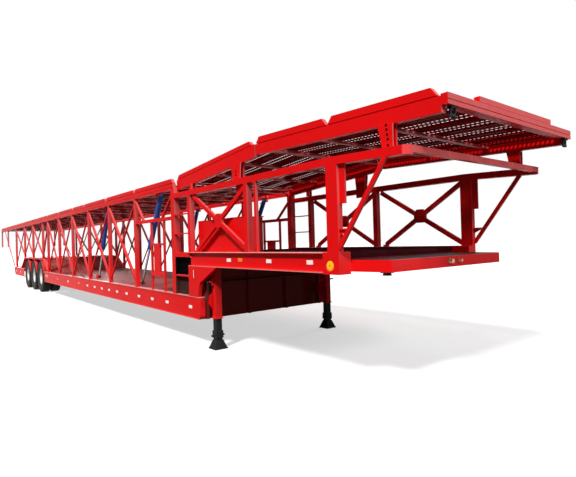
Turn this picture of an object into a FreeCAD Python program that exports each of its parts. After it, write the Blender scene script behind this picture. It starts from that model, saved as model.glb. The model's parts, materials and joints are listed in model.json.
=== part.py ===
import FreeCAD, Part
import math
import os
from types import SimpleNamespace

import Sketcher
from FreeCAD import Vector

os.makedirs("parts", exist_ok=True)
document = FreeCAD.newDocument("car_carrier_semi_trailer")
sheet = document.addObject("Spreadsheet::Sheet", "Sizes")

# The trailer points along +X, its right side faces -Y, and it stands on the ground at Z = 0.
# X and Y are measured from the middle of the whole trailer.
DRIVING_SIZES = {
    "overall_length": 25600,
    "overall_width": 2500,
    # Lower frame
    "lower_beam_bottom": 400,
    "lower_beam_top": 730,
    "beam_flange_width": 90,
    "beam_flange_thickness": 14,
    "beam_web_thickness": 10,
    "beam_nose": 50,
    "lower_web_setback": 10,
    "nose_corner_radius": 60,
    "floor_thickness": 6,
    "cross_member_width": 70,
    "cross_member_height": 120,
    "cross_member_pitch": 1050,
    "rear_frame_overhang": 3080,
    "bumper_depth": 220,
    "lamp_length": 380,
    "lamp_height": 110,
    "lamp_depth": 45,
    # Wheels and axles
    "axle_spacing": 1250,
    "rear_axle_to_deck_end": 7250,
    "tyre_radius": 535,
    "tyre_width": 270,
    "bead_radius": 286,
    "twin_spacing": 310,
    "tyre_side_margin": 5,
    "rim_thickness": 24,
    "rim_half_length": 262,
    "disc_thickness": 40,
    "drum_radius": 205,
    "drum_reach": 300,
    "hub_radius": 110,
    "hub_reach": 140,
    "hub_cap_radius": 70,
    "hub_cap_reach": 190,
    "spindle_radius": 45,
    "spindle_reach": 110,
    "running_clearance": 0.05,
    "seat_clearance": 0.3,
    "moving_clearance": 5,
    "axle_beam_size": 150,
    "axle_end_gap": 10,
    "spring_centre_y": 480,
    "spring_width": 90,
    "spring_half_length": 505,
    "spring_centre_thickness": 75,
    "spring_end_thickness": 25,
    "spring_end_rise": 125,
    "hanger_height": 120,
    "chassis_rail_bottom": 840,
    "chassis_rail_width": 90,
    # Raised floor over the wheels
    "hump_top": 1180,
    "hump_ramp_length": 900,
    "wheel_bay_margin": 200,
    "hump_edge_depth": 50,
    "mudguard_thickness": 6,
    "mudguard_width": 600,
    # Step and gooseneck
    "gooseneck_length": 4110,
    "gooseneck_beam_length": 2934,
    "gooseneck_bottom": 1180,
    "gooseneck_top": 1390,
    "corner_block_length": 230,
    "corner_block_width": 165,
    "nose_length": 436,
    "nose_half_width": 1000,
    "nose_top": 1310,
    "nose_wall": 12,
    "lamp_recess_radius": 58,
    "lamp_recess_depth": 10,
    "lamp_recess_height": 1256,
    "lamp_recess_setback": 131,
    "gooseneck_cross_pitch": 520,
    "coupler_plate_length": 1500,
    "coupler_plate_width": 1200,
    "coupler_plate_thickness": 10,
    "kingpin_setback": 900,
    "kingpin_neck_radius": 25.4,
    "kingpin_collar_radius": 36.5,
    "kingpin_section_length": 35,
    "kingpin_foot_thickness": 14,
    "kingpin_hole_margin": 1,
    "step_plate_width": 60,
    "step_plate_rear": 280,
    "window_bar_height": 20,
    "window_bar_bottom": 1016,
    "window_top_height": 75,
    "step_box_inner_y": 750,
    "step_box_top": 1260,
    "bulkhead_thickness": 8,
    "bulkhead_rib_width": 50,
    "bulkhead_rib_depth": 40,
    # Landing legs
    "leg_setback": 260,
    "leg_centre_y": 1080,
    "leg_tube_size": 100,
    "leg_tube_bottom": 430,
    "leg_ram_size": 76,
    "foot_size": 210,
    "foot_plate_thickness": 12,
    "foot_height": 150,
    "leg_shaft_radius": 16,
    "leg_shaft_height": 960,
    "leg_peg_height": 320,
    "leg_collar_margin": 10,
    # Side trusses
    "post_size": 70,
    "post_bay": 1575,
    "ladder_bay": 1700,
    "step_post_length": 120,
    "step_post_width": 100,
    "step_post_setback": 800,
    "brace_size": 58,
    "light_brace_size": 32,
    "chord_bottom": 2390,
    "chord_top": 2430,
    "chord_width": 60,
    "ladder_bar_height": 1940,
    "ladder_width": 540,
    "ladder_setback": 400,
    "lower_ladder_rung_height": 1003,
    "lower_ladder_rung_size": 70,
    "upper_ladder_rung_height": 1522,
    "ladder_tube": 36,
    "control_box_length": 240,
    "control_box_setback": 300,
    # Gooseneck side frames
    "rail_bottom": 2245,
    "rail_size": 80,
    "rail_front_setback": 350,
    "rail_front_drop": 38,
    "rail_corner": 50,
    "cross_rail_height": 60,
    "frame_post_size": 80,
    "rear_frame_post_setback": 230,
    "middle_frame_post_lead": 1320,
    "front_post_length": 158,
    "front_post_depth": 68,
    "strut_size": 70,
    "strut_width": 45,
    "strut_depth": 28,
    "strut_top_setback": 215,
    "frame_brace_size": 60,
    "frame_brace_width": 40,
    "rung_size": 18,
    "lower_rung_height": 1669,
    "upper_rung_height": 1970,
    "support_plate_thickness": 16,
    "support_tab_bottom": 2180,
    "slide_tube_length": 76,
    "slide_tube_width": 20,
    "slide_tube_depth": 385,
    "slide_tube_offset": 32,
    "post_bracket_thickness": 8,
    "peg_height": 1600,
    "peg_length": 110,
    # Upper deck
    "upper_deck_top": 2570,
    "curb_height": 80,
    "curb_width": 50,
    "curb_seam": 4,
    "curb_slant": 60,
    "curb_lift": 12,
    "curb_strip_setback": 16,
    "ramp_curb_height": 70,
    "front_curb_height": 85,
    "ramp_beam_height": 155,
    "deck_beam_width": 60,
    "front_deck_beam_height": 130,
    "deck_cross_height": 28,
    "deck_cross_width": 60,
    "plank_thickness": 5,
    "plank_depth": 20,
    "plank_drop": 10,
    "plank_width": 366,
    "plank_pitch": 374,
    "plank_centre_gap": 8,
    "deck_gap": 30,
    "middle_bed_length": 3448,
    "rear_bed_length": 2842,
    "ramp_deck_length": 2211,
    "ramp_deck_rear_top": 2605,
    "ramp_deck_front_top": 2779,
    "front_deck_gap": 15,
    "front_deck_rear_top": 2788,
    "front_deck_front_top": 2700,
    "front_deck_half_width": 1190,
    "front_beam_length": 60,
    "header_bottom": 2540,
    "header_top": 2630,
    "header_groove_height": 2576,
    "header_groove_size": 7,
    "header_curb_half_width": 700,
    "header_curb_height": 54,
    "deck_chamfer": 42,
    # Bed hinges and hydraulic cylinders
    "hinge_setback": 45,
    "hinge_pin_radius": 15,
    "hinge_bracket_width": 40,
    "hinge_bracket_size": 70,
    "cylinder_centre_y": 1110,
    "cylinder_pin_radius": 20,
    "cylinder_eye_radius": 38,
    "cylinder_eye_width": 60,
    "rod_eye_bore_radius": 24,
    "barrel_radius": 45,
    "barrel_bore_radius": 34,
    "rod_radius": 22,
    "rod_head_length": 60,
    "barrel_end_thickness": 20,
    "barrel_length_share": 0.58,
    "lower_pin_height": 800,
    "upper_pin_height": 2365,
    "middle_cylinder_pin_setback": 795,
    "middle_cylinder_lean": 970,
    "rear_cylinder_pin_setback": 249,
    "rear_cylinder_lean": 800,
    # Tool cabinet
    "cabinet_length": 1259,
    "cabinet_setback": 135,
    "cabinet_width": 290,
    "cabinet_height": 460,
    "cabinet_wall": 4,
    "cabinet_side_gap": 110,
    "cabinet_lid_thickness": 8,
    "lid_knuckle_radius": 7,
    # Rear overhang of the upper deck
    "hanger_bar_size": 60,
    "hanger_bar_length": 760,
    "stay_size": 30,
}


class Size:
    """A length worked out from the sheet: its number, and the expression that binds it."""

    def __init__(self, number, text):
        self.number = number
        self.text = text

    def __add__(self, other):
        other = as_size(other)
        return Size(self.number + other.number, f"({self.text} + {other.text})")

    def __sub__(self, other):
        other = as_size(other)
        return Size(self.number - other.number, f"({self.text} - {other.text})")

    def __mul__(self, other):
        other = as_size(other)
        return Size(self.number * other.number, f"({self.text} * {other.text})")

    def __truediv__(self, other):
        other = as_size(other)
        return Size(self.number / other.number, f"({self.text} / {other.text})")

    def __radd__(self, other):
        return as_size(other) + self

    def __rsub__(self, other):
        return as_size(other) - self

    def __rmul__(self, other):
        return as_size(other) * self

    def __neg__(self):
        return Size(-self.number, f"(0 - {self.text})")


def as_size(value):
    return value if isinstance(value, Size) else Size(value, repr(value))


for row, (alias, number) in enumerate(DRIVING_SIZES.items(), start=1):
    sheet.set(f"A{row}", alias)
    sheet.set(f"B{row}", str(number))
    sheet.setAlias(f"B{row}", alias)
document.recompute()
s = SimpleNamespace(**{
    alias: Size(float(sheet.get(alias)), f"Sizes.{alias}") for alias in DRIVING_SIZES
})


def place(x, y, z, axis="0; 1; 0", angle="0"):
    """The expression of a place: a corner, and a turn about one axis."""
    corner = "; ".join(as_size(value).text for value in (x, y, z))
    return f"placement(vector({corner}); rotation(vector({axis}); {angle}))"


def block(name, low, high):
    """A square block or tube between its low and its high corner."""
    solid = document.addObject("Part::Box", name)
    for side, start, end in zip(("Length", "Width", "Height"), low, high):
        solid.setExpression(side, as_size(end - start).text)
    solid.setExpression("Placement", place(*low))
    return solid


def bar(name, start, end, y_low, y_high, depth):
    """A straight bar in a side plane, centred on the line between two (x, z) points."""
    run = end[0] - start[0]
    rise = end[1] - start[1]
    length = f"sqrt(({run.text})^2 + ({rise.text})^2)"
    angle = f"(-atan2({rise.text}; {run.text}))"
    half = depth / 2
    solid = document.addObject("Part::Box", name)
    solid.setExpression("Length", length)
    solid.setExpression("Width", (y_high - y_low).text)
    solid.setExpression("Height", depth.text)
    corner_x = Size(0, f"({start[0].text} - {half.text} * sin({angle}))")
    corner_z = Size(0, f"({start[1].text} - {half.text} * cos({angle}))")
    solid.setExpression("Placement", place(corner_x, y_low, corner_z, angle=angle))
    return solid


def rod(name, x, y, z, radius, length):
    """A round bar along +Y from its inner end."""
    solid = document.addObject("Part::Cylinder", name)
    solid.setExpression("Radius", radius.text)
    solid.setExpression("Height", length.text)
    solid.setExpression("Placement", place(x, y, z, axis="1; 0; 0", angle="-90"))
    return solid


def sketch_on(body, role, outline):
    """A fully dimensioned closed outline on one of a body's own planes."""
    sketch = body.newObject("Sketcher::SketchObject", body.Name + "_outline")
    plane = next(item for item in body.Origin.OriginFeatures if item.Role == role)
    sketch.AttachmentSupport = (plane, "")
    sketch.MapMode = "FlatFace"
    outline = [(as_size(u), as_size(v)) for u, v in outline]
    corners = [Vector(u.number, v.number, 0) for u, v in outline]
    count = len(corners)
    for index, corner in enumerate(corners):
        sketch.addGeometry(Part.LineSegment(corner, corners[(index + 1) % count]), False)
    for index in range(count):
        sketch.addConstraint(Sketcher.Constraint("Coincident", index, 2, (index + 1) % count, 1))
    for index, pair in enumerate(outline):
        for kind, value in zip(("DistanceX", "DistanceY"), pair):
            dimension = Sketcher.Constraint(kind, -1, 1, index, 1, float(value.number))
            sketch.setExpression(f"Constraints[{sketch.addConstraint(dimension)}]", value.text)
    return sketch


def padded(name, role, outline, start, length):
    """A closed outline padded along its plane's axis: X for YZ, -Y for XZ, Z for XY."""
    body = document.addObject("PartDesign::Body", name)
    sketch = sketch_on(body, role, outline)
    pad = body.newObject("PartDesign::Pad", name + "_pad")
    pad.Profile = sketch
    pad.setExpression("Length", as_size(length).text)
    offset = {"YZ_Plane": (start, 0, 0), "XZ_Plane": (0, start, 0), "XY_Plane": (0, 0, start)}
    body.setExpression("Placement", place(*offset[role]))
    return body


def turned(name, outline, x, y, z):
    """A solid of revolution about the Y axis, from an outline of (y, radius) points."""
    body = document.addObject("PartDesign::Body", name)
    sketch = sketch_on(body, "YZ_Plane", outline)
    spin = body.newObject("PartDesign::Revolution", name + "_spin")
    spin.Profile = sketch
    spin.ReferenceAxis = (sketch, ["H_Axis"])
    spin.Angle = 360
    body.setExpression("Placement", place(x, y, z))
    return body


def joined(name, members):
    fusion = document.addObject("Part::MultiFuse", name)
    fusion.Shapes = members
    return fusion


def gathered(name, members):
    group = document.addObject("Part::Compound", name)
    group.Links = members
    return group


def without(name, base, tool):
    cut = document.addObject("Part::Cut", name)
    cut.Base = base
    cut.Tool = tool
    return cut


def other_side(name, source):
    """The left-hand twin of a right-hand piece."""
    twin = document.addObject("Part::Mirroring", name)
    twin.Source = source
    twin.Normal = Vector(0, 1, 0)
    twin.Base = Vector(0, 0, 0)
    return twin


def both_sides(name, source):
    return gathered(name, [source, other_side(name + "_twin", source)])


nodes = {}


def keep(name, source):
    """Makes an object one of the trailer's own pieces."""
    source.Label = name
    nodes[name] = source


# Stations along the trailer
half_width = s.overall_width / 2
front_end = s.overall_length / 2
rear_end = -front_end
step_x = front_end - s.gooseneck_length
corner_front_x = step_x + s.gooseneck_beam_length
corner_rear_x = corner_front_x - s.corner_block_length
rear_axle_x = rear_end + s.rear_axle_to_deck_end
axle_xs = [rear_axle_x + s.axle_spacing * (2 - index) for index in range(3)]
wheel_bay_front = axle_xs[0] + s.tyre_radius + s.wheel_bay_margin
wheel_bay_rear = axle_xs[2] - s.tyre_radius - s.wheel_bay_margin
hump_front = axle_xs[0] + s.tyre_radius
hump_rear = axle_xs[2] - s.tyre_radius
ramp_front = hump_front + s.hump_ramp_length
ramp_rear = hump_rear - s.hump_ramp_length
frame_rear = rear_axle_x - s.rear_frame_overhang
inner_edge = half_width - s.beam_flange_width
web_inner = half_width - s.beam_flange_width
floor_bottom = s.lower_beam_top - s.beam_flange_thickness
floor_top = floor_bottom + s.floor_thickness
ladder_post_x = step_x - s.step_post_setback
ladder_post_front = ladder_post_x + s.step_post_length / 2


def beam_section(bottom, top, web_setback):
    """The outline of a right-hand side beam: two flanges and a web."""
    outer = -half_width
    inner = -inner_edge
    web_low = outer + web_setback
    web_high = web_low + s.beam_web_thickness
    lower = bottom + s.beam_flange_thickness
    upper = top - s.beam_flange_thickness
    return [
        (outer, bottom), (inner, bottom), (inner, lower), (web_high, lower),
        (web_high, upper), (inner, upper), (inner, top), (outer, top),
        (outer, upper), (web_low, upper), (web_low, lower), (outer, lower),
    ]


# Lower frame: side beams ahead of and behind the wheels, cross members and the bumper
lower_section = beam_section(s.lower_beam_bottom, s.lower_beam_top, s.lower_web_setback)
beam_tip = step_x + s.beam_nose
round_shares = [(math.sin(math.radians(a)), 1 - math.cos(math.radians(a))) for a in (0, 22.5, 45, 67.5, 90)]
tip_outline = [(beam_tip - s.nose_corner_radius + s.nose_corner_radius * u,
                s.lower_beam_bottom + s.nose_corner_radius * v) for u, v in round_shares]
tip_outline += [(beam_tip, s.lower_beam_top), (step_x - s.beam_nose, s.lower_beam_top),
                (step_x - s.beam_nose, s.lower_beam_bottom)]
front_beam = joined("capped_front_beam", [
    padded("front_lower_beam", "YZ_Plane", lower_section, wheel_bay_front, step_x - wheel_bay_front),
    padded("front_beam_tip", "XZ_Plane", tip_outline, -inner_edge, s.beam_flange_width)])
rear_beam = padded("rear_lower_beam", "YZ_Plane", lower_section,
                   frame_rear, wheel_bay_rear - frame_rear)
keep("lower_side_beams", gathered("lower_beams", [
    front_beam, other_side("front_lower_beam_twin", front_beam),
    rear_beam, other_side("rear_lower_beam_twin", rear_beam)]))

cross_members = []
member_bottom = floor_bottom - s.cross_member_height
front_run = step_x - s.cross_member_width - ramp_front
count = int((front_run / s.cross_member_pitch).number)
for index in range(count + 1):
    x = ramp_front + front_run * (index / count)
    cross_members.append(block(f"floor_member_{index}", (x, -web_inner, member_bottom),
                               (x + s.cross_member_width, web_inner, floor_bottom)))
rear_run = ramp_rear - s.cross_member_width * 2 - frame_rear
for index in range(2):
    x = ramp_rear - s.cross_member_width - rear_run * (index / 2)
    cross_members.append(block(f"rear_member_{index}", (x, -web_inner, member_bottom),
                               (x + s.cross_member_width, web_inner, floor_bottom)))
keep("lower_cross_members", gathered("floor_members", cross_members))

bumper_top = s.lower_beam_top
keep("rear_bumper_beam", block("bumper", (frame_rear - s.cross_member_width, -half_width,
                                          bumper_top - s.bumper_depth),
                               (frame_rear, half_width, bumper_top)))

lamp_top = bumper_top - s.bumper_depth / 4
lamp_rear = frame_rear - s.cross_member_width - s.lamp_depth
rear_lamp = block("rear_lamp", (lamp_rear, s.lamp_length * 1.5, lamp_top - s.lamp_height),
                  (frame_rear - s.cross_member_width, s.lamp_length * 2.5, lamp_top))
keep("rear_lamps", both_sides("rear_lamp_pair", rear_lamp))

floor_joint_x = ladder_post_front + s.moving_clearance
keep("lower_deck_floor", gathered("floor_plates", [
    block("front_floor", (ramp_front, -inner_edge, floor_bottom),
          (floor_joint_x - s.seat_clearance, inner_edge, floor_top)),
    block("step_floor", (floor_joint_x, -inner_edge, floor_bottom), (step_x, inner_edge, floor_top)),
    block("rear_floor", (frame_rear, -inner_edge, floor_bottom),
          (ramp_rear, inner_edge, floor_top))]))

hump_under = s.hump_top - s.floor_thickness
keep("wheel_hump_floor", padded("hump_floor", "XZ_Plane", [
    (ramp_front, floor_bottom), (ramp_front, floor_top), (hump_front, s.hump_top),
    (hump_rear, s.hump_top), (ramp_rear, floor_top), (ramp_rear, floor_bottom),
    (hump_rear, hump_under), (hump_front, hump_under)], inner_edge, inner_edge * 2))

# Curved mudguards under the raised floor, one over each twin wheel
guard_radius = s.hump_top - s.hump_edge_depth - s.tyre_radius - s.seat_clearance
guard_inner = guard_radius - s.mudguard_thickness
guard_angles = [math.radians(a) for a in range(12, 169, 13)]
guards = []
for index, axle_x in enumerate(axle_xs, start=1):
    outer_arc = [(axle_x + guard_radius * math.cos(a), s.tyre_radius + guard_radius * math.sin(a))
                 for a in guard_angles]
    inner_arc = [(axle_x + guard_inner * math.cos(a), s.tyre_radius + guard_inner * math.sin(a))
                 for a in reversed(guard_angles)]
    guard = padded(f"guard_{index}", "XZ_Plane", outer_arc + inner_arc,
                   s.mudguard_width - half_width + s.tyre_side_margin, s.mudguard_width)
    guards += [guard, other_side(f"guard_{index}_twin", guard)]
keep("mudguards", gathered("guard_set", guards))

# Chassis rails that arch over the axles and carry the springs
rail_top = hump_under - s.seat_clearance
rail_tip_top = floor_bottom - s.seat_clearance
rail_tip_bottom = s.lower_beam_bottom + s.cross_member_width
hanger_half = s.axle_spacing / 2 - s.spring_half_length
rail_flat_front = axle_xs[0] + s.axle_spacing / 2 + hanger_half
rail_flat_rear = axle_xs[2] - s.axle_spacing / 2 - hanger_half
rail_outline = [
    (ramp_front, rail_tip_bottom), (ramp_front, rail_tip_top), (hump_front, rail_top),
    (hump_rear, rail_top), (ramp_rear, rail_tip_top), (ramp_rear, rail_tip_bottom),
    (rail_flat_rear, s.chassis_rail_bottom), (rail_flat_front, s.chassis_rail_bottom),
]
chassis_rail = padded("right_chassis_rail", "XZ_Plane", rail_outline,
                      s.chassis_rail_width / 2 - s.spring_centre_y, s.chassis_rail_width)
hanger_xs = [axle_xs[0] + s.axle_spacing / 2] + [x - s.axle_spacing / 2 for x in axle_xs]
hangers = [
    block(f"hanger_{index}",
          (x - hanger_half, -s.spring_centre_y - s.spring_width / 2,
           s.chassis_rail_bottom - s.hanger_height),
          (x + hanger_half, -s.spring_centre_y + s.spring_width / 2,
           s.chassis_rail_bottom + s.cross_member_width))
    for index, x in enumerate(hanger_xs)]
keep("chassis_rails", both_sides("chassis_rail_pair", joined("rail_with_hangers",
                                                             [chassis_rail] + hangers)))

# Axles, springs and hangers
axle_half_beam = half_width - s.tyre_side_margin - s.tyre_width / 2 - s.twin_spacing / 2
twin_centre_y = axle_half_beam
beam_end_y = twin_centre_y - s.drum_reach - s.axle_end_gap
axle_parts = []
for index, axle_x in enumerate(axle_xs, start=1):
    half_beam = s.axle_beam_size / 2
    beam = block(f"axle_beam_{index}",
                 (axle_x - half_beam, -beam_end_y, s.tyre_radius - half_beam),
                 (axle_x + half_beam, beam_end_y, s.tyre_radius + half_beam))
    spindle_end = twin_centre_y + s.spindle_reach
    spindle = rod(f"axle_spindle_{index}", axle_x, -spindle_end, s.tyre_radius,
                  s.spindle_radius, spindle_end * 2)
    axle_parts.append(joined(f"axle_{index}", [beam, spindle]))
keep("axles", gathered("axle_set", axle_parts))

spring_low = s.tyre_radius + s.axle_beam_size / 2
spring_parts = []
for index, axle_x in enumerate(axle_xs, start=1):
    eye = spring_low + s.spring_end_rise
    spring = padded(f"spring_{index}", "XZ_Plane", [
        (axle_x - s.spring_half_length, eye), (axle_x - s.axle_beam_size / 2, spring_low),
        (axle_x + s.axle_beam_size / 2, spring_low), (axle_x + s.spring_half_length, eye),
        (axle_x + s.spring_half_length, eye + s.spring_end_thickness),
        (axle_x, spring_low + s.spring_centre_thickness),
        (axle_x - s.spring_half_length, eye + s.spring_end_thickness)],
        s.spring_width / 2 - s.spring_centre_y, s.spring_width)
    spring_parts += [spring, other_side(f"spring_{index}_twin", spring)]
keep("leaf_springs", gathered("spring_set", spring_parts))

# Twin wheels: two tyres and one pair of rims with drum and hub on each axle end
half_tyre = s.tyre_width / 2
bead = s.bead_radius + s.seat_clearance
tyre_depth = s.tyre_radius - s.bead_radius


def tyre_outline(centre):
    """One tyre's section, as shares of its half width and of its depth."""
    section_shares = [(0.7, 0), (1, 0.45), (0.9, 0.92), (0.78, 1)]
    outward = [(centre + half_tyre * u, bead + (s.tyre_radius - bead) * v)
               for u, v in section_shares]
    inward = [(centre - half_tyre * u, bead + (s.tyre_radius - bead) * v)
              for u, v in reversed(section_shares)]
    return outward + inward


rim_inner = s.bead_radius - s.rim_thickness
half_disc = s.disc_thickness / 2
bore = s.spindle_radius + s.running_clearance
bore_end = s.spindle_reach + s.axle_end_gap
rim_outline = [
    (-s.drum_reach, bore), (-s.drum_reach, s.drum_radius), (-half_disc, s.drum_radius),
    (-half_disc, rim_inner), (-s.rim_half_length, rim_inner),
    (-s.rim_half_length, s.bead_radius), (s.rim_half_length, s.bead_radius),
    (s.rim_half_length, rim_inner), (half_disc, rim_inner), (half_disc, s.hub_radius),
    (s.hub_reach, s.hub_radius), (s.hub_reach, s.hub_cap_radius),
    (s.hub_cap_reach, s.hub_cap_radius), (s.hub_cap_reach, 0), (bore_end, 0), (bore_end, bore),
]
for index, axle_x in enumerate(axle_xs, start=1):
    twins = [turned(f"left_tyre_{index}_{place_name}", tyre_outline(s.twin_spacing / 2 * side),
                    axle_x, twin_centre_y, s.tyre_radius)
             for place_name, side in (("outer", 1), ("inner", -1))]
    rims = turned(f"left_rims_{index}", rim_outline, axle_x, twin_centre_y, s.tyre_radius)
    left_tyres = gathered(f"left_tyre_pair_{index}", twins)
    keep(f"tyres_left_{index}", left_tyres)
    keep(f"tyres_right_{index}", other_side(f"right_tyre_pair_{index}", left_tyres))
    keep(f"rims_left_{index}", rims)
    keep(f"rims_right_{index}", other_side(f"right_rims_{index}", rims))

# Step between the lower deck and the gooseneck
step_plate_rear_x = step_x - s.step_plate_rear
plate_inner = half_width - s.step_plate_width
step_plate = padded("step_plate", "XZ_Plane", [
    (step_plate_rear_x, s.lower_beam_top), (step_x, s.lower_beam_top),
    (step_x + s.cross_member_width, s.lower_beam_top + s.foot_size),
    (step_x + s.step_plate_rear * 2, s.gooseneck_bottom),
    (step_plate_rear_x, s.gooseneck_bottom)], -plate_inner, s.step_plate_width)
window_top = block("window_top", (ladder_post_front, -half_width, s.gooseneck_top - s.window_top_height),
                   (step_plate_rear_x, -plate_inner, s.gooseneck_top))
window_bar = block("window_bar", (ladder_post_front, -half_width, s.window_bar_bottom),
                   (step_plate_rear_x, -plate_inner, s.window_bar_bottom + s.window_bar_height))
step_parts = []
for piece in (joined("step_side", [step_plate, window_bar]), window_top):
    step_parts += [piece, other_side(piece.Name + "_twin", piece)]
keep("step_side_plates", gathered("step_plates", step_parts))

# Closed boxes on the floor behind the side windows
step_box = block("step_box", (floor_joint_x, s.moving_clearance - plate_inner,
                              s.lower_beam_top + s.seat_clearance),
                 (step_plate_rear_x - s.moving_clearance, -s.step_box_inner_y, s.step_box_top))
keep("step_boxes", both_sides("step_box_pair", step_box))

bulkhead = block("bulkhead_sheet", (step_x, -inner_edge, s.lower_beam_bottom),
                 (step_x + s.bulkhead_thickness, inner_edge,
                  s.gooseneck_bottom + s.beam_flange_thickness))
rib_front = step_x + s.bulkhead_thickness + s.bulkhead_rib_depth
ribs = []
rib_count = 4
for index in range(rib_count):
    y = (inner_edge - s.bulkhead_rib_width) * (2 * index / (rib_count - 1) - 1)
    ribs.append(block(f"bulkhead_rib_{index}",
                      (step_x, y - s.bulkhead_rib_width / 2, s.lower_beam_bottom),
                      (rib_front, y + s.bulkhead_rib_width / 2,
                       s.gooseneck_bottom + s.beam_flange_thickness)))
keep("front_bulkhead", joined("bulkhead", [bulkhead] + ribs))

# Gooseneck: side beams, cross members, deck sheet, corner blocks and nose
gooseneck_beam = padded("gooseneck_beam", "YZ_Plane",
                        beam_section(s.gooseneck_bottom, s.gooseneck_top, s.beam_flange_width / 2),
                        step_plate_rear_x, corner_rear_x - step_plate_rear_x)
keep("gooseneck_side_beams", both_sides("gooseneck_beam_pair", gooseneck_beam))

member_low = s.gooseneck_bottom + s.beam_flange_thickness
member_high = s.gooseneck_top - s.beam_flange_thickness
leg_x = step_x + s.leg_setback
gooseneck_members = [
    block("step_member", (step_x, -web_inner, member_low),
          (step_x + s.cross_member_width, web_inner, member_high)),
    block("leg_member", (leg_x - s.leg_tube_size / 2, -web_inner, member_low),
          (leg_x + s.leg_tube_size / 2, web_inner, member_high))]
member_run = corner_rear_x - leg_x - s.cross_member_width
member_count = int((member_run / s.gooseneck_cross_pitch).number)
for index in range(1, member_count + 1):
    x = leg_x + member_run * (index / member_count)
    gooseneck_members.append(block(f"gooseneck_member_{index}", (x, -web_inner, member_low),
                                   (x + s.cross_member_width, web_inner, member_high)))
keep("gooseneck_cross_members", gathered("gooseneck_members", gooseneck_members))

deck_high = member_high + s.floor_thickness
keep("gooseneck_deck", block("gooseneck_sheet", (step_plate_rear_x, -inner_edge, member_high),
                             (corner_rear_x, inner_edge, deck_high)))

block_inner = half_width - s.corner_block_width
corner_low = (corner_rear_x, -half_width, s.gooseneck_bottom - s.coupler_plate_thickness)
corner_solid = block("corner_solid", corner_low,
                     (corner_front_x, -block_inner, s.gooseneck_top))
lamp_recess = rod("lamp_recess", corner_front_x - s.lamp_recess_setback, -half_width,
                  s.lamp_recess_height, s.lamp_recess_radius, s.lamp_recess_depth)
corner_block = without("corner_block", corner_solid, lamp_recess)

nose_front_x = corner_front_x + s.nose_length
nose_outline = [
    (corner_rear_x, -block_inner), (corner_front_x, -block_inner),
    (nose_front_x, -s.nose_half_width), (nose_front_x, s.nose_half_width),
    (corner_front_x, block_inner), (corner_rear_x, block_inner)]
nose_inner = [
    (corner_rear_x + s.nose_wall, -block_inner + s.nose_wall),
    (corner_front_x, -block_inner + s.nose_wall),
    (nose_front_x - s.nose_wall, -s.nose_half_width + s.nose_wall),
    (nose_front_x - s.nose_wall, s.nose_half_width - s.nose_wall),
    (corner_front_x, block_inner - s.nose_wall),
    (corner_rear_x + s.nose_wall, block_inner - s.nose_wall)]
nose_shell = padded("nose_shell", "XY_Plane", nose_outline, member_low, s.nose_top - member_low)
nose_hollow = padded("nose_hollow", "XY_Plane", nose_inner, member_low,
                     s.nose_top - s.nose_wall - member_low)
keep("gooseneck_nose", joined("nose_with_corners", [
    without("nose", nose_shell, nose_hollow), corner_block,
    other_side("corner_block_twin", corner_block)]))

plate_front = nose_front_x - s.nose_wall * 8
plate_low = member_low - s.coupler_plate_thickness
kingpin_x = nose_front_x - s.kingpin_setback
coupler_sheet = block("coupler_sheet",
                      (plate_front - s.coupler_plate_length, -s.coupler_plate_width / 2, plate_low),
                      (plate_front, s.coupler_plate_width / 2, member_low))
pin_hole = document.addObject("Part::Cylinder", "pin_hole")
pin_hole.setExpression("Radius", (s.kingpin_collar_radius + s.kingpin_hole_margin).text)
pin_hole.setExpression("Height", (s.coupler_plate_thickness * 3).text)
pin_hole.setExpression("Placement", place(kingpin_x, 0, plate_low - s.coupler_plate_thickness))
keep("coupler_plate", without("drilled_coupler_plate", coupler_sheet, pin_hole))

pin_body = document.addObject("PartDesign::Body", "pin_body")
neck_top = -s.kingpin_section_length
neck_bottom = neck_top - s.kingpin_section_length
foot_bottom = neck_bottom - s.kingpin_foot_thickness
boss_radius = s.kingpin_collar_radius * 2.2
pin_sketch = sketch_on(pin_body, "XZ_Plane", [
    (0, s.coupler_plate_thickness * 2), (boss_radius, s.coupler_plate_thickness * 2),
    (boss_radius, s.coupler_plate_thickness), (s.kingpin_collar_radius, s.coupler_plate_thickness),
    (s.kingpin_collar_radius, neck_top),
    (s.kingpin_neck_radius, neck_top), (s.kingpin_neck_radius, neck_bottom),
    (s.kingpin_collar_radius, neck_bottom), (s.kingpin_collar_radius, foot_bottom),
    (0, foot_bottom)])
pin_spin = pin_body.newObject("PartDesign::Revolution", "pin_spin")
pin_spin.Profile = pin_sketch
pin_spin.ReferenceAxis = (pin_sketch, ["V_Axis"])
pin_spin.Angle = 360
pin_body.setExpression("Placement", place(kingpin_x, 0, plate_low))
keep("kingpin", pin_body)

# Landing legs: a fixed tube under the gooseneck and a ram with a foot in it
half_tube = s.leg_tube_size / 2
half_ram = s.leg_ram_size / 2
leg_tube = block("leg_tube", (leg_x - half_tube, -s.leg_centre_y - half_tube, s.leg_tube_bottom),
                 (leg_x + half_tube, -s.leg_centre_y + half_tube, member_low))
half_collar = half_tube + s.leg_collar_margin
leg_collar = block("leg_collar", (leg_x - half_collar, -s.leg_centre_y - half_collar, s.leg_tube_bottom),
                   (leg_x + half_collar, -s.leg_centre_y + half_collar,
                    s.leg_tube_bottom + s.leg_collar_margin * 2))
leg_bracket = padded("leg_bracket", "XZ_Plane", [
    (rib_front, s.lower_beam_top - s.leg_tube_size),
    (leg_x - half_tube, s.lower_beam_top - s.leg_tube_size * 2),
    (leg_x - half_tube, s.lower_beam_top + s.leg_tube_size), (rib_front, s.lower_beam_top)],
    -s.leg_centre_y + half_tube / 2, half_tube)
right_leg = joined("right_leg_tube", [leg_tube, leg_collar, leg_bracket])
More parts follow.
